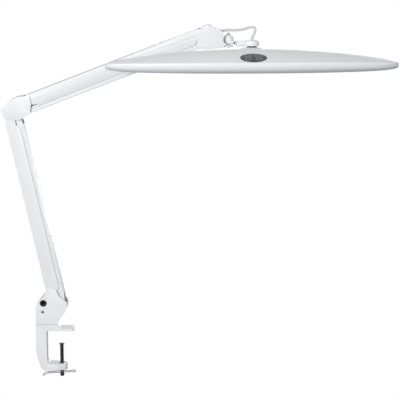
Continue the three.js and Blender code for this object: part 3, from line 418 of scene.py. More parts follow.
def clean_mesh(name, points, faces):
    """A mesh with doubled corners joined and its faces turned outwards."""
    mesh = bpy.data.meshes.new(name)
    mesh.from_pydata([tuple(p) for p in points], [], faces)
    work = bmesh.new()
    work.from_mesh(mesh)
    bmesh.ops.remove_doubles(work, verts=work.verts, dist=WELD)
    bmesh.ops.recalc_face_normals(work, faces=work.faces)
    work.to_mesh(mesh)
    work.free()
    return mesh


def in_scene(name, mesh):
    obj = bpy.data.objects.new(name, mesh)
    bpy.context.scene.collection.objects.link(obj)
    return obj


def piece(name, points, faces, slot, body, replaces=(), place=None, material=None):
    """A smooth shaded piece in the lamp's frame that rides on a body and stands for CAD nodes."""
    mesh = clean_mesh(name, points, faces)
    if place is not None:
        mesh.transform(place)
    mesh.polygons.foreach_set("use_smooth", [True] * len(mesh.polygons))
    mesh.materials.append(material or LOOKS[slot].material)
    obj = in_scene(name, mesh)
    if body:
        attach(obj, body)
    if replaces:
        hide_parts(*replaces)
    return obj


def loft(rings, around=False, caps=True):
    """Points and faces that join rings of equal length; around also joins the last ring to the first."""
    count = len(rings[0])
    points = [p for ring in rings for p in ring]
    faces = []
    total = len(rings)
    for i in range(total if around else total - 1):
        a, b = i * count, ((i + 1) % total) * count
        for k in range(count):
            n = (k + 1) % count
            faces.append((a + k, a + n, b + n, b + k))
    if caps and not around:
        faces.append(tuple(range(count)))
        faces.append(tuple(range((total - 1) * count, total * count)))
    return points, faces


def lathe(profile, sides):
    """A body turned about Z from (radius, z) pairs; pairs at radius 0 close it at its ends."""
    rings = []
    for r, z in profile:
        turns = [2 * math.pi * k / sides for k in range(sides)]
        rings.append([Vector((r * math.cos(t), r * math.sin(t), z)) for t in turns])
    if profile[0] == profile[-1]:
        return loft(rings[:-1], around=True)
    return loft(rings, caps=False)


def merged(*shapes):
    """Several (points, faces) as one."""
    points, faces = [], []
    for shape_points, shape_faces in shapes:
        base = len(points)
        points += list(shape_points)
        faces += [tuple(base + i for i in face) for face in shape_faces]
    return points, faces


def moved(shape, matrix):
    points, faces = shape
    return [matrix @ Vector(p) for p in points], faces


def catmull(points, spacing):
    """Points about spacing apart on a smooth curve through the given ones."""
    points = [Vector(p) for p in points]
    ends = [2 * points[0] - points[1], *points, 2 * points[-1] - points[-2]]
    route = []
    for i in range(len(points) - 1):
        p0, p1, p2, p3 = ends[i : i + 4]
        steps = max(2, round((p2 - p1).length / spacing))
        for k in range(steps):
            t = k / steps
            route.append(
                0.5
                * (
                    2 * p1
                    + (p2 - p0) * t
                    + (2 * p0 - 5 * p1 + 4 * p2 - p3) * t**2
                    + (3 * p1 - p0 - 3 * p2 + p3) * t**3
                )
            )
    return [*route, points[-1]]


def quarter_turn(steps):
    """Angles from 0 to a right angle."""
    return [k / steps * math.pi / 2 for k in range(steps + 1)]


def tube(route, radius, dome=0.0):
    """A round bar along a route; dome rounds its two ends by that share of the radius."""
    rings = []
    side = (route[1] - route[0]).orthogonal().normalized()
    for i, point in enumerate(route):
        before, after = route[max(i - 1, 0)], route[min(i + 1, len(route) - 1)]
        forward = (after - before).normalized()
        side = (side - forward * side.dot(forward)).normalized()
        up = forward.cross(side)
        turns = [2 * math.pi * k / TUBE_SIDES for k in range(TUBE_SIDES)]
        rings.append([point + radius * (side * math.cos(t) + up * math.sin(t)) for t in turns])
    if dome:
        for end, inward in ((0, 1), (-1, -1)):
            centre = sum(rings[end], Vector()) / TUBE_SIDES
            out = (route[end] - route[end + inward]).normalized()
            extra = []
            for angle in quarter_turn(DOME_STEPS)[1:]:
                push, shrink = dome * radius * math.sin(angle), math.cos(angle)
                extra.append([centre + (p - centre) * shrink + out * push for p in rings[end]])
            rings = extra[::-1] + rings if end == 0 else rings + extra
    return loft(rings)


def solid_from(name, shape):
    return in_scene(name, clean_mesh(name, *shape))


def combined(base, *steps):
    """Joins or cuts shapes in turn, and gives back the result as (points, faces)."""
    body = solid_from("working_body", base)
    tools = []
    for operation, shape in steps:
        tool = solid_from("working_tool", shape)
        modifier = body.modifiers.new("step", "BOOLEAN")
        modifier.operation = operation
        modifier.solver = "EXACT"
        modifier.object = tool
        tools.append(tool)
    made = body.evaluated_get(bpy.context.evaluated_depsgraph_get()).to_mesh()
    points = [v.co.copy() for v in made.vertices]
    faces = [tuple(p.vertices) for p in made.polygons]
    for obj in [body, *tools]:
        bpy.data.objects.remove(obj)
    return points, faces


def facing_front(x, z):
    """Turns a shape made about Z so that it points towards -Y, and moves it to x and z."""
    return Matrix.Translation((x, 0.0, z)) @ Matrix.Rotation(math.pi / 2, 4, "X")


def bar_y(x, z, radius, half, sides=40, edge=0.0):
    """A round bar along Y that reaches half its length each way, with optional chamfered ends."""
    profile = [(0.0, -half), (radius - edge, -half), (radius, -half + edge)]
    profile += [(radius, half - edge), (radius - edge, half), (0.0, half)]
    return moved(lathe(profile, sides), facing_front(x, z))


def rounded_section(x, half_y, low, high, corner):
    """A rounded rectangle across the link at a distance along it."""
    ring = []
    corner = min(corner, half_y * CORNER_LIMIT, (high - low) / 2 * CORNER_LIMIT)
    centres = [
        (half_y - corner, high - corner, 0),
        (-half_y + corner, high - corner, 1),
        (-half_y + corner, low + corner, 2),
        (half_y - corner, low + corner, 3),
    ]
    for cy, cz, quarter in centres:
        for k in range(SECTION_STEPS + 1):
            a = (quarter + k / SECTION_STEPS) * math.pi / 2
            ring.append(Vector((x, cy + corner * math.cos(a), cz + corner * math.sin(a))))
    return ring


def box_shape(x0, x1, y0, y1, z0, z1):
    points = [Vector((x, y, z)) for x in (x0, x1) for y in (y0, y1) for z in (z0, z1)]
    faces = [(0, 1, 3, 2), (4, 6, 7, 5), (0, 4, 5, 1), (2, 3, 7, 6), (0, 2, 6, 4), (1, 5, 7, 3)]
    return points, faces


# ---- lead between the wrist and the head -----------------------------------------------------------

LEAD_R = 2.7 * MM
LEAD_ROUTE_MM = [
    (326, 0, 633.5),
    (336, 0, 638.3),
    (346, -1, 641.2),
    (357, -7, 642.6),
    (372, -24, 643.8),
    (386, -45, 647),
    (399, -65, 652.5),
    (409, -77, 652),
    (408.5, -79, 643),
    (404.5, -76, 634),
    (403.5, -75, 625.8),
]
LEAD_SPLIT = 4  # the route's point over the pitch pin, which the knuckle carries


def add_lead():
    points = [Vector(p) * MM for p in LEAD_ROUTE_MM]
    route = catmull(points, 1.5 * MM)
    split_at = min(range(len(route)), key=lambda i: (route[i] - points[LEAD_SPLIT]).length)
    rear_shape = tube(route[: split_at + 1], LEAD_R)
    rear = piece("head_lead_rear", *rear_shape, "grey_cable", None, ["head_lead"])
    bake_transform(rear)
    front_shape = tube(route[split_at:], LEAD_R)
    front = piece("head_lead_front", *front_shape, "grey_cable", None, ["head_lead"])
    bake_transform(front)


add_lead()

# ---- CAD nodes that keep their shape ---------------------------------------------------------------

EDGE_RADIUS = {
    "clamp_bracket": 1.4,
    "base_cover_near": 0.9,
    "base_cover_far": 0.9,
    "elbow_cover_near": 0.9,
    "elbow_cover_far": 0.9,
    "wrist_cover_near": 0.9,
    "wrist_cover_far": 0.9,
    "lower_arm_channel": 0.8,
    "upper_arm_channel": 0.8,
    "lower_link_channel": 0.6,
    "upper_link_channel": 0.6,
    "turret_frame": 0.5,
    "elbow_frame": 0.5,
    "wrist_frame": 0.5,
}
SMALL_EDGE = 0.2
SMOOTH_ANGLE = math.radians(28)
FLAT_ANGLE = math.radians(0.6)
IMPORT_WELD = 2e-6


def smooth_group():
    """A node group that joins the imported corners and shades every face smooth, ready for a bevel."""
    group = bpy.data.node_groups.new("join_and_smooth", "GeometryNodeTree")
    group.interface.new_socket("Geometry", in_out="INPUT", socket_type="NodeSocketGeometry")
    group.interface.new_socket("Geometry", in_out="OUTPUT", socket_type="NodeSocketGeometry")
    start = group.nodes.new("NodeGroupInput")
    weld = group.nodes.new("GeometryNodeMergeByDistance")
    weld.inputs["Distance"].default_value = IMPORT_WELD
    smooth = group.nodes.new("GeometryNodeSetShadeSmooth")
    end = group.nodes.new("NodeGroupOutput")
    group.links.new(start.outputs[0], weld.inputs["Geometry"])
    group.links.new(weld.outputs["Geometry"], smooth.inputs["Geometry"])
    group.links.new(smooth.outputs["Geometry"], end.inputs[0])
    return group


SMOOTH = smooth_group()


def soften(obj, radius, segments):
    """Rounds an object's hard edges without touching its own mesh."""
    obj.modifiers.new("join_and_smooth", "NODES").node_group = SMOOTH
    flat = obj.modifiers.new("join_flat_faces", "DECIMATE")
    flat.decimate_type = "DISSOLVE"
    flat.angle_limit = FLAT_ANGLE
    bevel = obj.modifiers.new("edge_radius", "BEVEL")
    bevel.width = radius
    bevel.segments = segments
    bevel.limit_method = "ANGLE"
    bevel.angle_limit = SMOOTH_ANGLE
    bevel.harden_normals = True
    bevel.miter_outer = "MITER_ARC"


def dress_cad_nodes():
    for name, obj in NODES.items():
        obj.data.materials.clear()
        # the covers take the darker copy of the white plastic, which paints shade on them
        is_cover = "_cover_" in name and "screw" not in name
        look = COVER_SHADED_WHITE if is_cover else LOOKS[SLOT_OF[name]]
        obj.data.materials.append(look.material)
        radius = EDGE_RADIUS.get(name, SMALL_EDGE)
        soften(obj, radius * MM, 3 if name in EDGE_RADIUS else 2)


dress_cad_nodes()

# ---- head ------------------------------------------------------------------------------------------

STUD = pivot("head_swivel")
HEAD_YAW = math.radians(3)
HEAD = Matrix.Translation((STUD.x, STUD.y, 0.0)) @ Matrix.Rotation(HEAD_YAW, 4, "Z")
HALF_LENGTH = 297.5 * MM
BACK = -22 * MM  # the head's centre line, in front of the stud
HALF_WIDTH = 75 * MM
END_WIDTH = 30 * MM
CREASE_Z = 590 * MM
CREASE_FALL = 4.7 * MM
CREASE_TIP_DROP = 3 * MM
CREASE_ROUND = 1.6 * MM
DOME_RISE = 20.2 * MM
DOME_POWER = 1.5
DOME_EDGE = 0.6 * MM
RIM_Z = 574.4 * MM
RIM_FALL = 0.7 * MM
RIM_TIP_RISE = 1.5 * MM
LIP_DEPTH = 5.8 * MM
LIP_SLOPE = 1.2
LIP_INSET = 0.8 * MM
LIP_EDGE = 1 * MM  # what is left of the lip at the head's two ends
LIP_ROUND = 1.2 * MM
LIP_ROUND_SHARE = 0.3  # of the lip's depth, taken by its lower edge's rounding
LIP_STEPS = 5
GAP = 0.3 * MM
WALL = 2.4 * MM
INNER_LIMIT = 0.985
DIFFUSER_INSET = 10 * MM
RIDGE_SOFTNESS = 0.12
TIP = 0.99995  # the outermost section, as a share of the half length
END_SQUARENESS = 12  # higher powers keep a change closer to the head's two ends
TIP_SHARPNESS = 24
LIP_FADE = 4
PAD_BLEND = 0.0012
PAD_REACH = 0.036  # sections are close together this far each way from the stud
PAD_STEP = 0.0012
SIDE_STATIONS = 150
ACROSS = 96
CREASE_STEPS = 4
PLAN_STEPS = 128


def tip(s, power):
    return min(1.0, abs(s)) ** power


def half_width(s):
    """Half the head's width: widest in the middle and rounded off at both ends."""
    return (END_WIDTH + (HALF_WIDTH - END_WIDTH) * (1 - s * s)) * math.sqrt(1 - tip(s, END_SQUARENESS))


def crease_z(s):
    return CREASE_Z - CREASE_FALL * s * s - CREASE_TIP_DROP * tip(s, TIP_SHARPNESS)


def rim_z(s):
    return RIM_Z - RIM_FALL * s * s + RIM_TIP_RISE * tip(s, TIP_SHARPNESS)


def lip_top(s):
    return rim_z(s) - GAP


def lip_z(s):
    return lip_top(s) - LIP_EDGE - (LIP_DEPTH - LIP_EDGE) * math.sqrt(1 - tip(s, LIP_FADE))


def lip_height(s):
    return lip_top(s) - lip_z(s)


def lip_inset(s):
    return LIP_INSET + LIP_SLOPE * lip_height(s)


def dome_share(v):
    """Height over the crease as a share of the dome's rise, 1 on the centre line and 0 at the edge."""
    softened = (v * v + RIDGE_SOFTNESS**2) ** (DOME_POWER / 2) - RIDGE_SOFTNESS**DOME_POWER
    full = (1 + RIDGE_SOFTNESS**2) ** (DOME_POWER / 2) - RIDGE_SOFTNESS**DOME_POWER
    return 1 - softened / full


def dome_z(s, v):
    rise = DOME_RISE * (1 - s * s) + DOME_EDGE
    return crease_z(s) + rise * dome_share(v)


PAD_TOP = STUD.z
PAD_PROFILE = [(0.0, 0.0), (12.0, 0.0), (14.0, 0.3), (17.0, 0.9), (24.0, 3.6), (31.0, 9.6)]


def pad_z(x, y):
    """Height of the boss that the stud comes out of."""
    r = math.hypot(x, y) / MM
    for (r0, drop0), (r1, drop1) in zip(PAD_PROFILE, PAD_PROFILE[1:]):
        if r <= r1:
            share = (r - r0) / (r1 - r0)
            return PAD_TOP - (drop0 + (drop1 - drop0) * share) * MM
    return 0.0


def smooth_max(a, b):
    h = max(PAD_BLEND - abs(a - b), 0.0) / PAD_BLEND
    return max(a, b) + h * h * PAD_BLEND / 4


def along(limit, count):
    """Shares of the half length from -limit to limit, closer together towards the ends."""
    reach = math.asin(limit)
    return [math.sin(reach * (2 * i / count - 1)) for i in range(count + 1)]


def head_stations():
    """Places along the head as shares of its half length, close together round the boss and the ends."""
    near, fine = PAD_REACH / HALF_LENGTH, PAD_STEP / HALF_LENGTH
    middle = [i * fine for i in range(int(near / fine) + 1)]
    side = middle + [s for s in along(TIP, SIDE_STATIONS) if s > near + fine]
    return [-s for s in side[:0:-1]] + side


def head_sections(stations, inset, drop, with_pad):
    """Open section lines across the head, from the back rim's bottom over the dome to the front one."""
    sections = []
    for s in stations:
        x = s * HALF_LENGTH
        half = half_width(s) - inset
        line = []
        for i in range(ACROSS + 1):
            v = 1 - 2 * i / ACROSS
            y = BACK + v * half
            z = dome_z(s, v) - drop
            if with_pad:
                z = smooth_max(z, pad_z(x, y))
            line.append(Vector((x, y, z)))
        sections.append(rounded_crease(line, s))
    return sections


def rounded_crease(line, s):
    """Adds the rim's walls to a section line, with a small radius where they meet the dome."""
    sides = []
    for corner, inner in ((line[0], line[1]), (line[-1], line[-2])):
        low = corner + Vector((0, 0, -CREASE_ROUND))
        wall = [Vector((corner.x, corner.y, rim_z(s)))]
        for k in range(CREASE_STEPS + 1):
            t = k / CREASE_STEPS
            wall.append(low * (1 - t) ** 2 + corner * 2 * t * (1 - t) + inner * t**2)
        sides.append(wall)
    back, front = sides
    return back + line[2:-2] + front[::-1]


def head_shell():
    stations = head_stations()
    outer = head_sections(stations, 0.0, 0.0, True)
    inner = head_sections([s * INNER_LIMIT for s in stations], WALL, WALL, False)
    points = [p for line in outer + inner for p in line]
    count, width = len(outer), len(outer[0])
    size = count * width
    faces = []
    for i in range(count - 1):
        for k in range(width - 1):
            a = i * width + k
            faces.append((a, a + 1, a + width + 1, a + width))
            faces.append((size + a, size + a + width, size + a + width + 1, size + a + 1))
        for k in (0, width - 1):
            a = i * width + k
            faces.append((a, a + width, size + a + width, size + a))
    for base in (0, (count - 1) * width):
        last = base + width - 1
        faces.append(tuple(range(base, base + width)))
        faces.append(tuple(range(size + base, size + base + width)))
        faces.append((base, last, size + last, size + base))
    return points, faces


def steady(value):
    """The same value everywhere, where a function of place is asked for."""
    return lambda place: value


def plan_ring(limit, inset, height):
    """A closed line that follows the head's plan, inset from its edge; inset and height may vary."""
    ring = []
    for sign in (1, -1):
        for s in along(limit, PLAN_STEPS):
            y = BACK - sign * (half_width(s) - inset(s))
            ring.append(Vector((sign * s * HALF_LENGTH, y, height(s))))
    return ring


def head_bezel():
    """The lip under the rim, which holds the diffuser: it leans in and has a soft lower edge."""
    reach = 1 - 1 * MM / HALF_LENGTH
    upstand, bore, upper_bore = 0.975, 0.95, 0.968
    ledge, crown = steady(RIM_Z + MM), steady(RIM_Z + 3 * MM)
    outside = steady(WALL + 2 * GAP)
    inside = steady(WALL + 2 * GAP + 1.6 * MM)
    rings = [
        plan_ring(upstand, outside, crown),
        plan_ring(upstand, outside, lip_top),
        plan_ring(reach, steady(LIP_INSET), lip_top),
    ]
    for k in range(LIP_STEPS + 1):
        t = k / LIP_STEPS
        rise = LIP_ROUND_SHARE * (1 - t) ** 2
        push = LIP_ROUND * t**2

        def height(s, rise=rise):
            return lip_z(s) + rise * lip_height(s)

        def inset(s, rise=rise, push=push):
            return lip_inset(s) - LIP_SLOPE * rise * lip_height(s) + push

        rings.append(plan_ring(reach, inset, height))
    rings += [
        plan_ring(bore, steady(DIFFUSER_INSET - GAP), lip_z),
        plan_ring(bore, steady(DIFFUSER_INSET), lambda s: lip_z(s) + GAP),
        plan_ring(bore, steady(DIFFUSER_INSET), ledge),
        plan_ring(upper_bore, inside, ledge),
        plan_ring(upper_bore, inside, crown),
    ]
    return loft(rings, around=True)


def diffuser():
    """A flat sheet inside the bezel, with a small chamfer round its lower face."""
    limit = 0.948
    inset = DIFFUSER_INSET + 2 * GAP
    rings = [
        plan_ring(limit, steady(inset), lambda s: lip_z(s) + 2.4 * MM),
        plan_ring(limit, steady(inset), lambda s: lip_z(s) + 0.9 * MM),
        plan_ring(limit, steady(inset + 0.3 * MM), lambda s: lip_z(s) + 0.6 * MM),
    ]
    half = len(rings[0]) // 2
    points, faces = loft(rings, caps=False)
    for base in (0, 2 * len(rings[0])):
        for i in range(half - 1):
            mirror = base + 2 * half - 1 - i
            faces.append((base + i, base + i + 1, mirror - 1, mirror))
    return points, faces


piece("head_shell_skin", *head_shell(), "white_plastic", "head", ["head_shell"], HEAD)
piece("head_bezel_ring", *head_bezel(), "grey_plastic", "head", ["head_bezel"], HEAD)
piece("diffuser_sheet", *diffuser(), "opal", "head", ["diffuser"], HEAD)

# ---- key panel -------------------------------------------------------------------------------------

PANEL_X = -3 * MM
PANEL_Y = -76 * MM
PANEL_RX = 26.8 * MM
PANEL_RY = 19.5 * MM
PANEL_RISE = 0.6 * MM
PANEL_DEPTH = 2.4 * MM
PANEL_EDGE = 0.5 * MM
PANEL_SHARE = abs(PANEL_Y - BACK) / HALF_WIDTH
PANEL_TILT = math.atan(DOME_POWER * DOME_RISE * math.sqrt(PANEL_SHARE) / HALF_WIDTH)
PANEL_Z = CREASE_Z + DOME_RISE * (1 - PANEL_SHARE**DOME_POWER) + DOME_EDGE
PANEL = HEAD @ Matrix.Translation((PANEL_X, PANEL_Y, PANEL_Z)) @ Matrix.Rotation(PANEL_TILT, 4, "X")
KEY_R = 6.6 * MM
KEY_TOP = 1.0 * MM
KEY_SPOTS = {
    "key_power": (-11, -7.4),
    "key_mode": (11, -7.4),
    "key_dimmer": (-11, 7.4),
    "key_brighter": (11, 7.4),
}


def key_panel():
    """A slim oval plate with a rounded rim."""
    profile = [(0.0, -PANEL_DEPTH), (0.985, -PANEL_DEPTH), (0.99, -0.4 * MM)]
    for a in quarter_turn(4):
        edge_z = PANEL_RISE - PANEL_EDGE * (1 - math.sin(a))
        profile.append((1.0 - 0.02 * (1 - math.cos(a)), edge_z))
    profile.append((0.0, PANEL_RISE))
    points, faces = lathe(profile, 96)
    return [Vector((p.x * PANEL_RX, p.y * PANEL_RY, p.z)) for p in points], faces


def disc_at(spot, profile):
    return moved(lathe(profile, 48), Matrix.Translation((spot[0] * MM, spot[1] * MM, 0.0)))


def add_keys():
    """Four round keys with a shallow dish in the top, each with a printed ring near its edge."""
    for name, spot in KEY_SPOTS.items():
        cap = [
            (0.0, -1.8 * MM),
            (KEY_R - 0.4 * MM, -1.8 * MM),
            (KEY_R - 0.2 * MM, KEY_TOP - 0.5 * MM),
            (KEY_R - 0.3 * MM, KEY_TOP - 0.15 * MM),
            (KEY_R - 0.6 * MM, KEY_TOP),
            (KEY_R - 1.9 * MM, KEY_TOP - 0.1 * MM),
            (0.0, KEY_TOP - 0.25 * MM),
        ]
        ring_out, ring_in = KEY_R - 0.5 * MM, KEY_R - 1.5 * MM
        ring_low, ring_high = KEY_TOP - 0.4 * MM, KEY_TOP + 0.02 * MM
        ring = [
            (ring_out, ring_low),
            (ring_out, ring_high),
            (ring_in, ring_high),
            (ring_in, ring_low),
            (ring_out, ring_low),
        ]
        piece(f"{name}_cap", *disc_at(spot, cap), "key_grey", name, [name], PANEL)
        piece(f"{name}_ring", *disc_at(spot, ring), "key_grey", name, (), PANEL, PALE_PRINT.material)


piece("key_panel_plate", *key_panel(), "slate_panel", "head", ["key_panel"], PANEL)
add_keys()

# ---- knuckle and link ------------------------------------------------------------------------------

YAW = pivot("knuckle_yaw")
PITCH = pivot("head_pitch")
LINK_AZIMUTH = math.atan2(PITCH.y - YAW.y, PITCH.x - YAW.x)
LINK = Matrix.Translation((YAW.x, YAW.y, 0.0)) @ Matrix.Rotation(LINK_AZIMUTH, 4, "Z")
PITCH_REACH = math.hypot(PITCH.x - YAW.x, PITCH.y - YAW.y)
HUB_REACH = math.hypot(STUD.x - YAW.x, STUD.y - YAW.y)
BALL_R = 11 * MM
BALL_Z = 622.7 * MM
BORE_R = 2.8 * MM
NECK_R = 3 * MM
TONGUE_HALF = 4 * MM
TONGUE_RISE = 2.8 * MM
PIN_BORE_R = 2.1 * MM
HUB_R = 14.5 * MM
HUB_BOTTOM, HUB_TOP = 616 * MM, 627.3 * MM
HUB_CROWN, HUB_FLAT = 5 * MM, 8 * MM  # the hub's rounded top: its height, and the radius of its flat
LEAD_BORE_R = 3.4 * MM
FORK_HALF = 7.6 * MM
FORK_RISE = 5.6 * MM
BAR_HALF = 6.6 * MM
SLOT_HALF = 4.3 * MM
NECK_FROM = 7 * MM
NECK_TO = PITCH_REACH - 6 * MM
CUT_LOW, CUT_HIGH, LINK_CUT_HIGH = 0.6, 0.65, 0.64  # heights clear of the parts, where cutters end


def knuckle():
    low, high = (corner.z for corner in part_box("knuckle"))
    skirt_height, skirt = 5 * MM, 0.4 * MM
    profile = [(BORE_R, low), (BORE_R, high)]
    steps = 28
    for k in range(steps + 1):
        z = high + (low - high) * k / steps
        extra = skirt if z < low + skirt_height else 0.0
        profile.append((math.sqrt(BALL_R**2 - (z - BALL_Z) ** 2) + extra, z))
    profile.append(profile[0])
    neck_profile = [(0.0, NECK_FROM), (NECK_R, NECK_FROM), (NECK_R, NECK_TO), (0.0, NECK_TO)]
    lay = Matrix.Translation((0.0, 0.0, PITCH.z)) @ Matrix.Rotation(math.pi / 2, 4, "Y")
    tongue = [
        rounded_section(x, TONGUE_HALF, PITCH.z - TONGUE_RISE, PITCH.z + TONGUE_RISE, 1.2 * MM)
        for x in (PITCH_REACH - 10 * MM, PITCH_REACH)
    ]
    bore = [(0, CUT_LOW), (BORE_R, CUT_LOW), (BORE_R, CUT_HIGH), (0, CUT_HIGH)]
    return combined(
        lathe(profile, 72),
        ("UNION", moved(lathe(neck_profile, 40), lay)),
        ("UNION", loft(tongue)),
        ("UNION", bar_y(PITCH_REACH, PITCH.z, 4.2 * MM, TONGUE_HALF, edge=0.5 * MM)),
        ("DIFFERENCE", bar_y(PITCH_REACH, PITCH.z, PIN_BORE_R, 9 * MM)),
        ("DIFFERENCE", lathe(bore, 72)),
    )


def head_link():
    """A bar from the fork on the pitch pin to the hub over the head's stud."""
    stations = 18
    rings = []
    for i in range(stations + 1):
        t = i / stations
        settle = min(1.0, t * 1.3)
        x = PITCH_REACH - 0.2 * MM + (HUB_REACH - 4 * MM - PITCH_REACH) * t
        half_y = FORK_HALF + (BAR_HALF - FORK_HALF) * t
        low = PITCH.z - FORK_RISE + (HUB_BOTTOM - PITCH.z + FORK_RISE) * settle
        high = PITCH.z + FORK_RISE + (HUB_TOP - 0.6 * MM - PITCH.z - FORK_RISE) * settle
        rings.append(rounded_section(x, half_y, low, high, 3.2 * MM))
    hub = [(0, HUB_BOTTOM), (HUB_R - 0.8 * MM, HUB_BOTTOM), (HUB_R, HUB_BOTTOM + 0.8 * MM)]
    for a in quarter_turn(10):
        radius = HUB_FLAT + (HUB_R - HUB_FLAT) * math.cos(a)
        hub.append((radius, HUB_TOP - HUB_CROWN * (1 - math.sin(a))))
    hub.append((0, HUB_TOP))
    hub_at = Matrix.Translation((HUB_REACH, 0.0, 0.0))
    slot_end = PITCH_REACH + 6.4 * MM
    gland_low = HUB_TOP - 2 * MM
    slot = box_shape(0.0, slot_end, -SLOT_HALF, SLOT_HALF, CUT_LOW, LINK_CUT_HIGH)
    gland = [(0, gland_low), (LEAD_BORE_R, gland_low), (LEAD_BORE_R, LINK_CUT_HIGH), (0, LINK_CUT_HIGH)]
    return combined(
        loft(rings),
        ("UNION", bar_y(PITCH_REACH, PITCH.z, FORK_RISE, FORK_HALF, 56, 1.2 * MM)),
        ("UNION", moved(lathe(hub, 72), hub_at)),
        ("DIFFERENCE", slot),
        ("DIFFERENCE", bar_y(PITCH_REACH, PITCH.z, PIN_BORE_R, 12 * MM)),
        ("DIFFERENCE", moved(lathe(gland, 40), hub_at)),
    )


piece("knuckle_ball", *knuckle(), "white_plastic", "knuckle", ["knuckle"], LINK)
piece("head_link_arm", *head_link(), "white_plastic", "head_link", ["head_link"], LINK)

# ---- clamp screw and bar ---------------------------------------------------------------------------

SCREW_R = 4 * MM
THREAD_PITCH = 1.25 * MM
THREAD_DEPTH = 0.75 * MM
THREAD_ROOT = 0.1  # shares of half a pitch: the flat at the root, and the slope up from it
THREAD_FLANK = 0.75
SCREW_SIDES = 32
RINGS_PER_PITCH = 8
SCREW_HEAD_R = 4.3 * MM
STUB_R = 2.2 * MM
BAR_R = 2.4 * MM
BAR_CLEARANCE = 0.65 * MM
BAR_MARKS_MM = [(24, 0), (0, 0), (-25, 0), (-33, 0), (-37, 1.2), (-41.2, 5.2)]  # along the bar, down
KNOB_MM = [(0.0, 21.9), (2.7, 21.9), (3.0, 22.3), (3.0, 28), (2.6, 28.7), (1.6, 29.0), (0.0, 29.0)]


def thread_radius(turn, z, low, high):
    """The screw's radius at a turn and height, with the thread running out at both ends."""
    phase = (z / THREAD_PITCH - turn) % 1.0
    wave = abs(2 * phase - 1)
    crest = min(1.0, max(0.0, (wave - THREAD_ROOT) / THREAD_FLANK))
    fade = min(1.0, (z - low) / THREAD_PITCH, (high - z) / THREAD_PITCH)
    return SCREW_R - THREAD_DEPTH * (1 - crest) * max(0.0, fade)


def screw_ring(z, radius_at):
    """A level ring of points, whose radius may change with the share of a turn."""
    ring = []
    for k in range(SCREW_SIDES):
        share = k / SCREW_SIDES
        angle, radius = 2 * math.pi * share, radius_at(share)
        ring.append(Vector((radius * math.cos(angle), radius * math.sin(angle), z)))
    return ring


def clamp_screw():
    """A smooth drilled head at the bottom, the thread above it and a stub into the foot."""
    low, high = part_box("clamp_screw")
    foot_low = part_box("pressure_foot")[0].z
    head_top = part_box("thread_insert")[0].z - 2.4 * MM
    thread_top = foot_low - 0.3 * MM
    head = [
        (0.0, low.z),
        (SCREW_HEAD_R - 1.2 * MM, low.z),
        (SCREW_HEAD_R - 0.3 * MM, low.z + 0.5 * MM),
        (SCREW_HEAD_R, low.z + 1.2 * MM),
        (SCREW_HEAD_R, head_top - 0.6 * MM),
        (SCREW_HEAD_R - 0.5 * MM, head_top),
        (SCREW_R, head_top),
    ]
    stub = [(STUB_R, thread_top), (STUB_R, high.z), (0.0, high.z)]
    rings = [screw_ring(z, steady(radius)) for radius, z in head]
    steps = int((thread_top - head_top) / THREAD_PITCH * RINGS_PER_PITCH)
    for i in range(steps + 1):
        z = head_top + (thread_top - head_top) * i / steps
        rings.append(screw_ring(z, lambda turn, z=z: thread_radius(turn, z, head_top, thread_top)))
    rings += [screw_ring(z, steady(radius)) for radius, z in stub]
    bar_z = JOINTS["clamp_screw_turn"]["pos_m"][2]
    hole = bar_y(0.0, bar_z, BAR_R + BAR_CLEARANCE, 10 * MM)
    across = moved(hole, Matrix.Rotation(math.pi / 2, 4, "Z"))
    return combined(loft(rings, caps=False), ("DIFFERENCE", across))


piece("clamp_screw_threaded", *clamp_screw(), "black_steel", "clamp_screw", ["clamp_screw"])


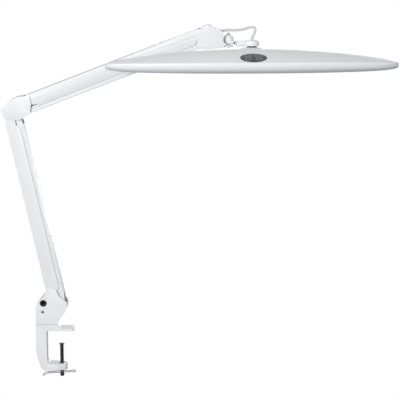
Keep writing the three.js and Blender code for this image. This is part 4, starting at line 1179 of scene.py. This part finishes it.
def tommy_bar():
    """A bent round bar with a pressed-on knob at its straight end."""
    slope = Vector(JOINTS["tommy_bar_slide"]["axis"])
    centre = Vector((0.0, 0.0, JOINTS["clamp_screw_turn"]["pos_m"][2]))
    down = Vector((0.0, 0.0, -1.0))
    route = catmull([centre + slope * s * MM + down * d * MM for s, d in BAR_MARKS_MM], 1.2 * MM)
    rod = tube(route, BAR_R, dome=0.5)
    knob = [(r * MM, z * MM) for r, z in KNOB_MM]
    turn = Vector((0.0, 0.0, 1.0)).rotation_difference(slope).to_matrix().to_4x4()
    return merged(rod, moved(lathe(knob, 40), Matrix.Translation(centre) @ turn))


piece("tommy_bar_bent", *tommy_bar(), "zinc", "tommy_bar", ["tommy_bar"])

# ---- power inlet -----------------------------------------------------------------------------------

SOCKET_R = 7.2 * MM


def power_inlet():
    """The inlet's nut, bore and centre pin, turned about Y with its face towards -Y."""
    low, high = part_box("dc_socket")
    centre = (low + high) / 2
    face, back = -low.y, -high.y
    profile = [
        (0.0, back),
        (SOCKET_R, back),
        (SOCKET_R, face - 0.5 * MM),
        (SOCKET_R - 0.15 * MM, face - 0.15 * MM),
        (SOCKET_R - 0.5 * MM, face),
        (3.7 * MM, face),
        (3.2 * MM, face - 0.5 * MM),
        (3.2 * MM, face - 10 * MM),
        (1.0 * MM, face - 10 * MM),
        (1.0 * MM, face - 2.3 * MM),
        (0.7 * MM, face - 2 * MM),
        (0.0, face - 2 * MM),
    ]
    return moved(lathe(profile, 64), facing_front(centre.x, centre.z))


def cover_screw():
    """A pan-headed screw with a cross recess, along Y with its head towards -Y."""
    low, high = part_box("base_cover_screw")
    centre = (low + high) / 2
    head_r, face, end = (high.x - low.x) / 2, -low.y, -high.y
    profile = [(0.0, end), (1.3 * MM, end), (1.3 * MM, face - 1.4 * MM), (head_r, face - 1.4 * MM)]
    for a in quarter_turn(6):
        profile.append((head_r * math.cos(a), face - 0.9 * MM * (1 - math.sin(a))))
    arm, half, depth = 1.3 * MM, 0.25 * MM, 0.8 * MM
    shape = combined(
        lathe(profile, 40),
        ("DIFFERENCE", box_shape(-arm, arm, -half, half, face - depth, face + depth)),
        ("DIFFERENCE", box_shape(-half, half, -arm, arm, face - depth, face + depth)),
    )
    return moved(shape, facing_front(centre.x, centre.z))


piece("power_inlet", *power_inlet(), "black_plastic", "turret", ["dc_socket"])
piece(
    "cover_screw",
    *cover_screw(),
    "zinc",
    "turret",
    ["base_cover_screw"],
    material=DULL_ZINC.material,
)
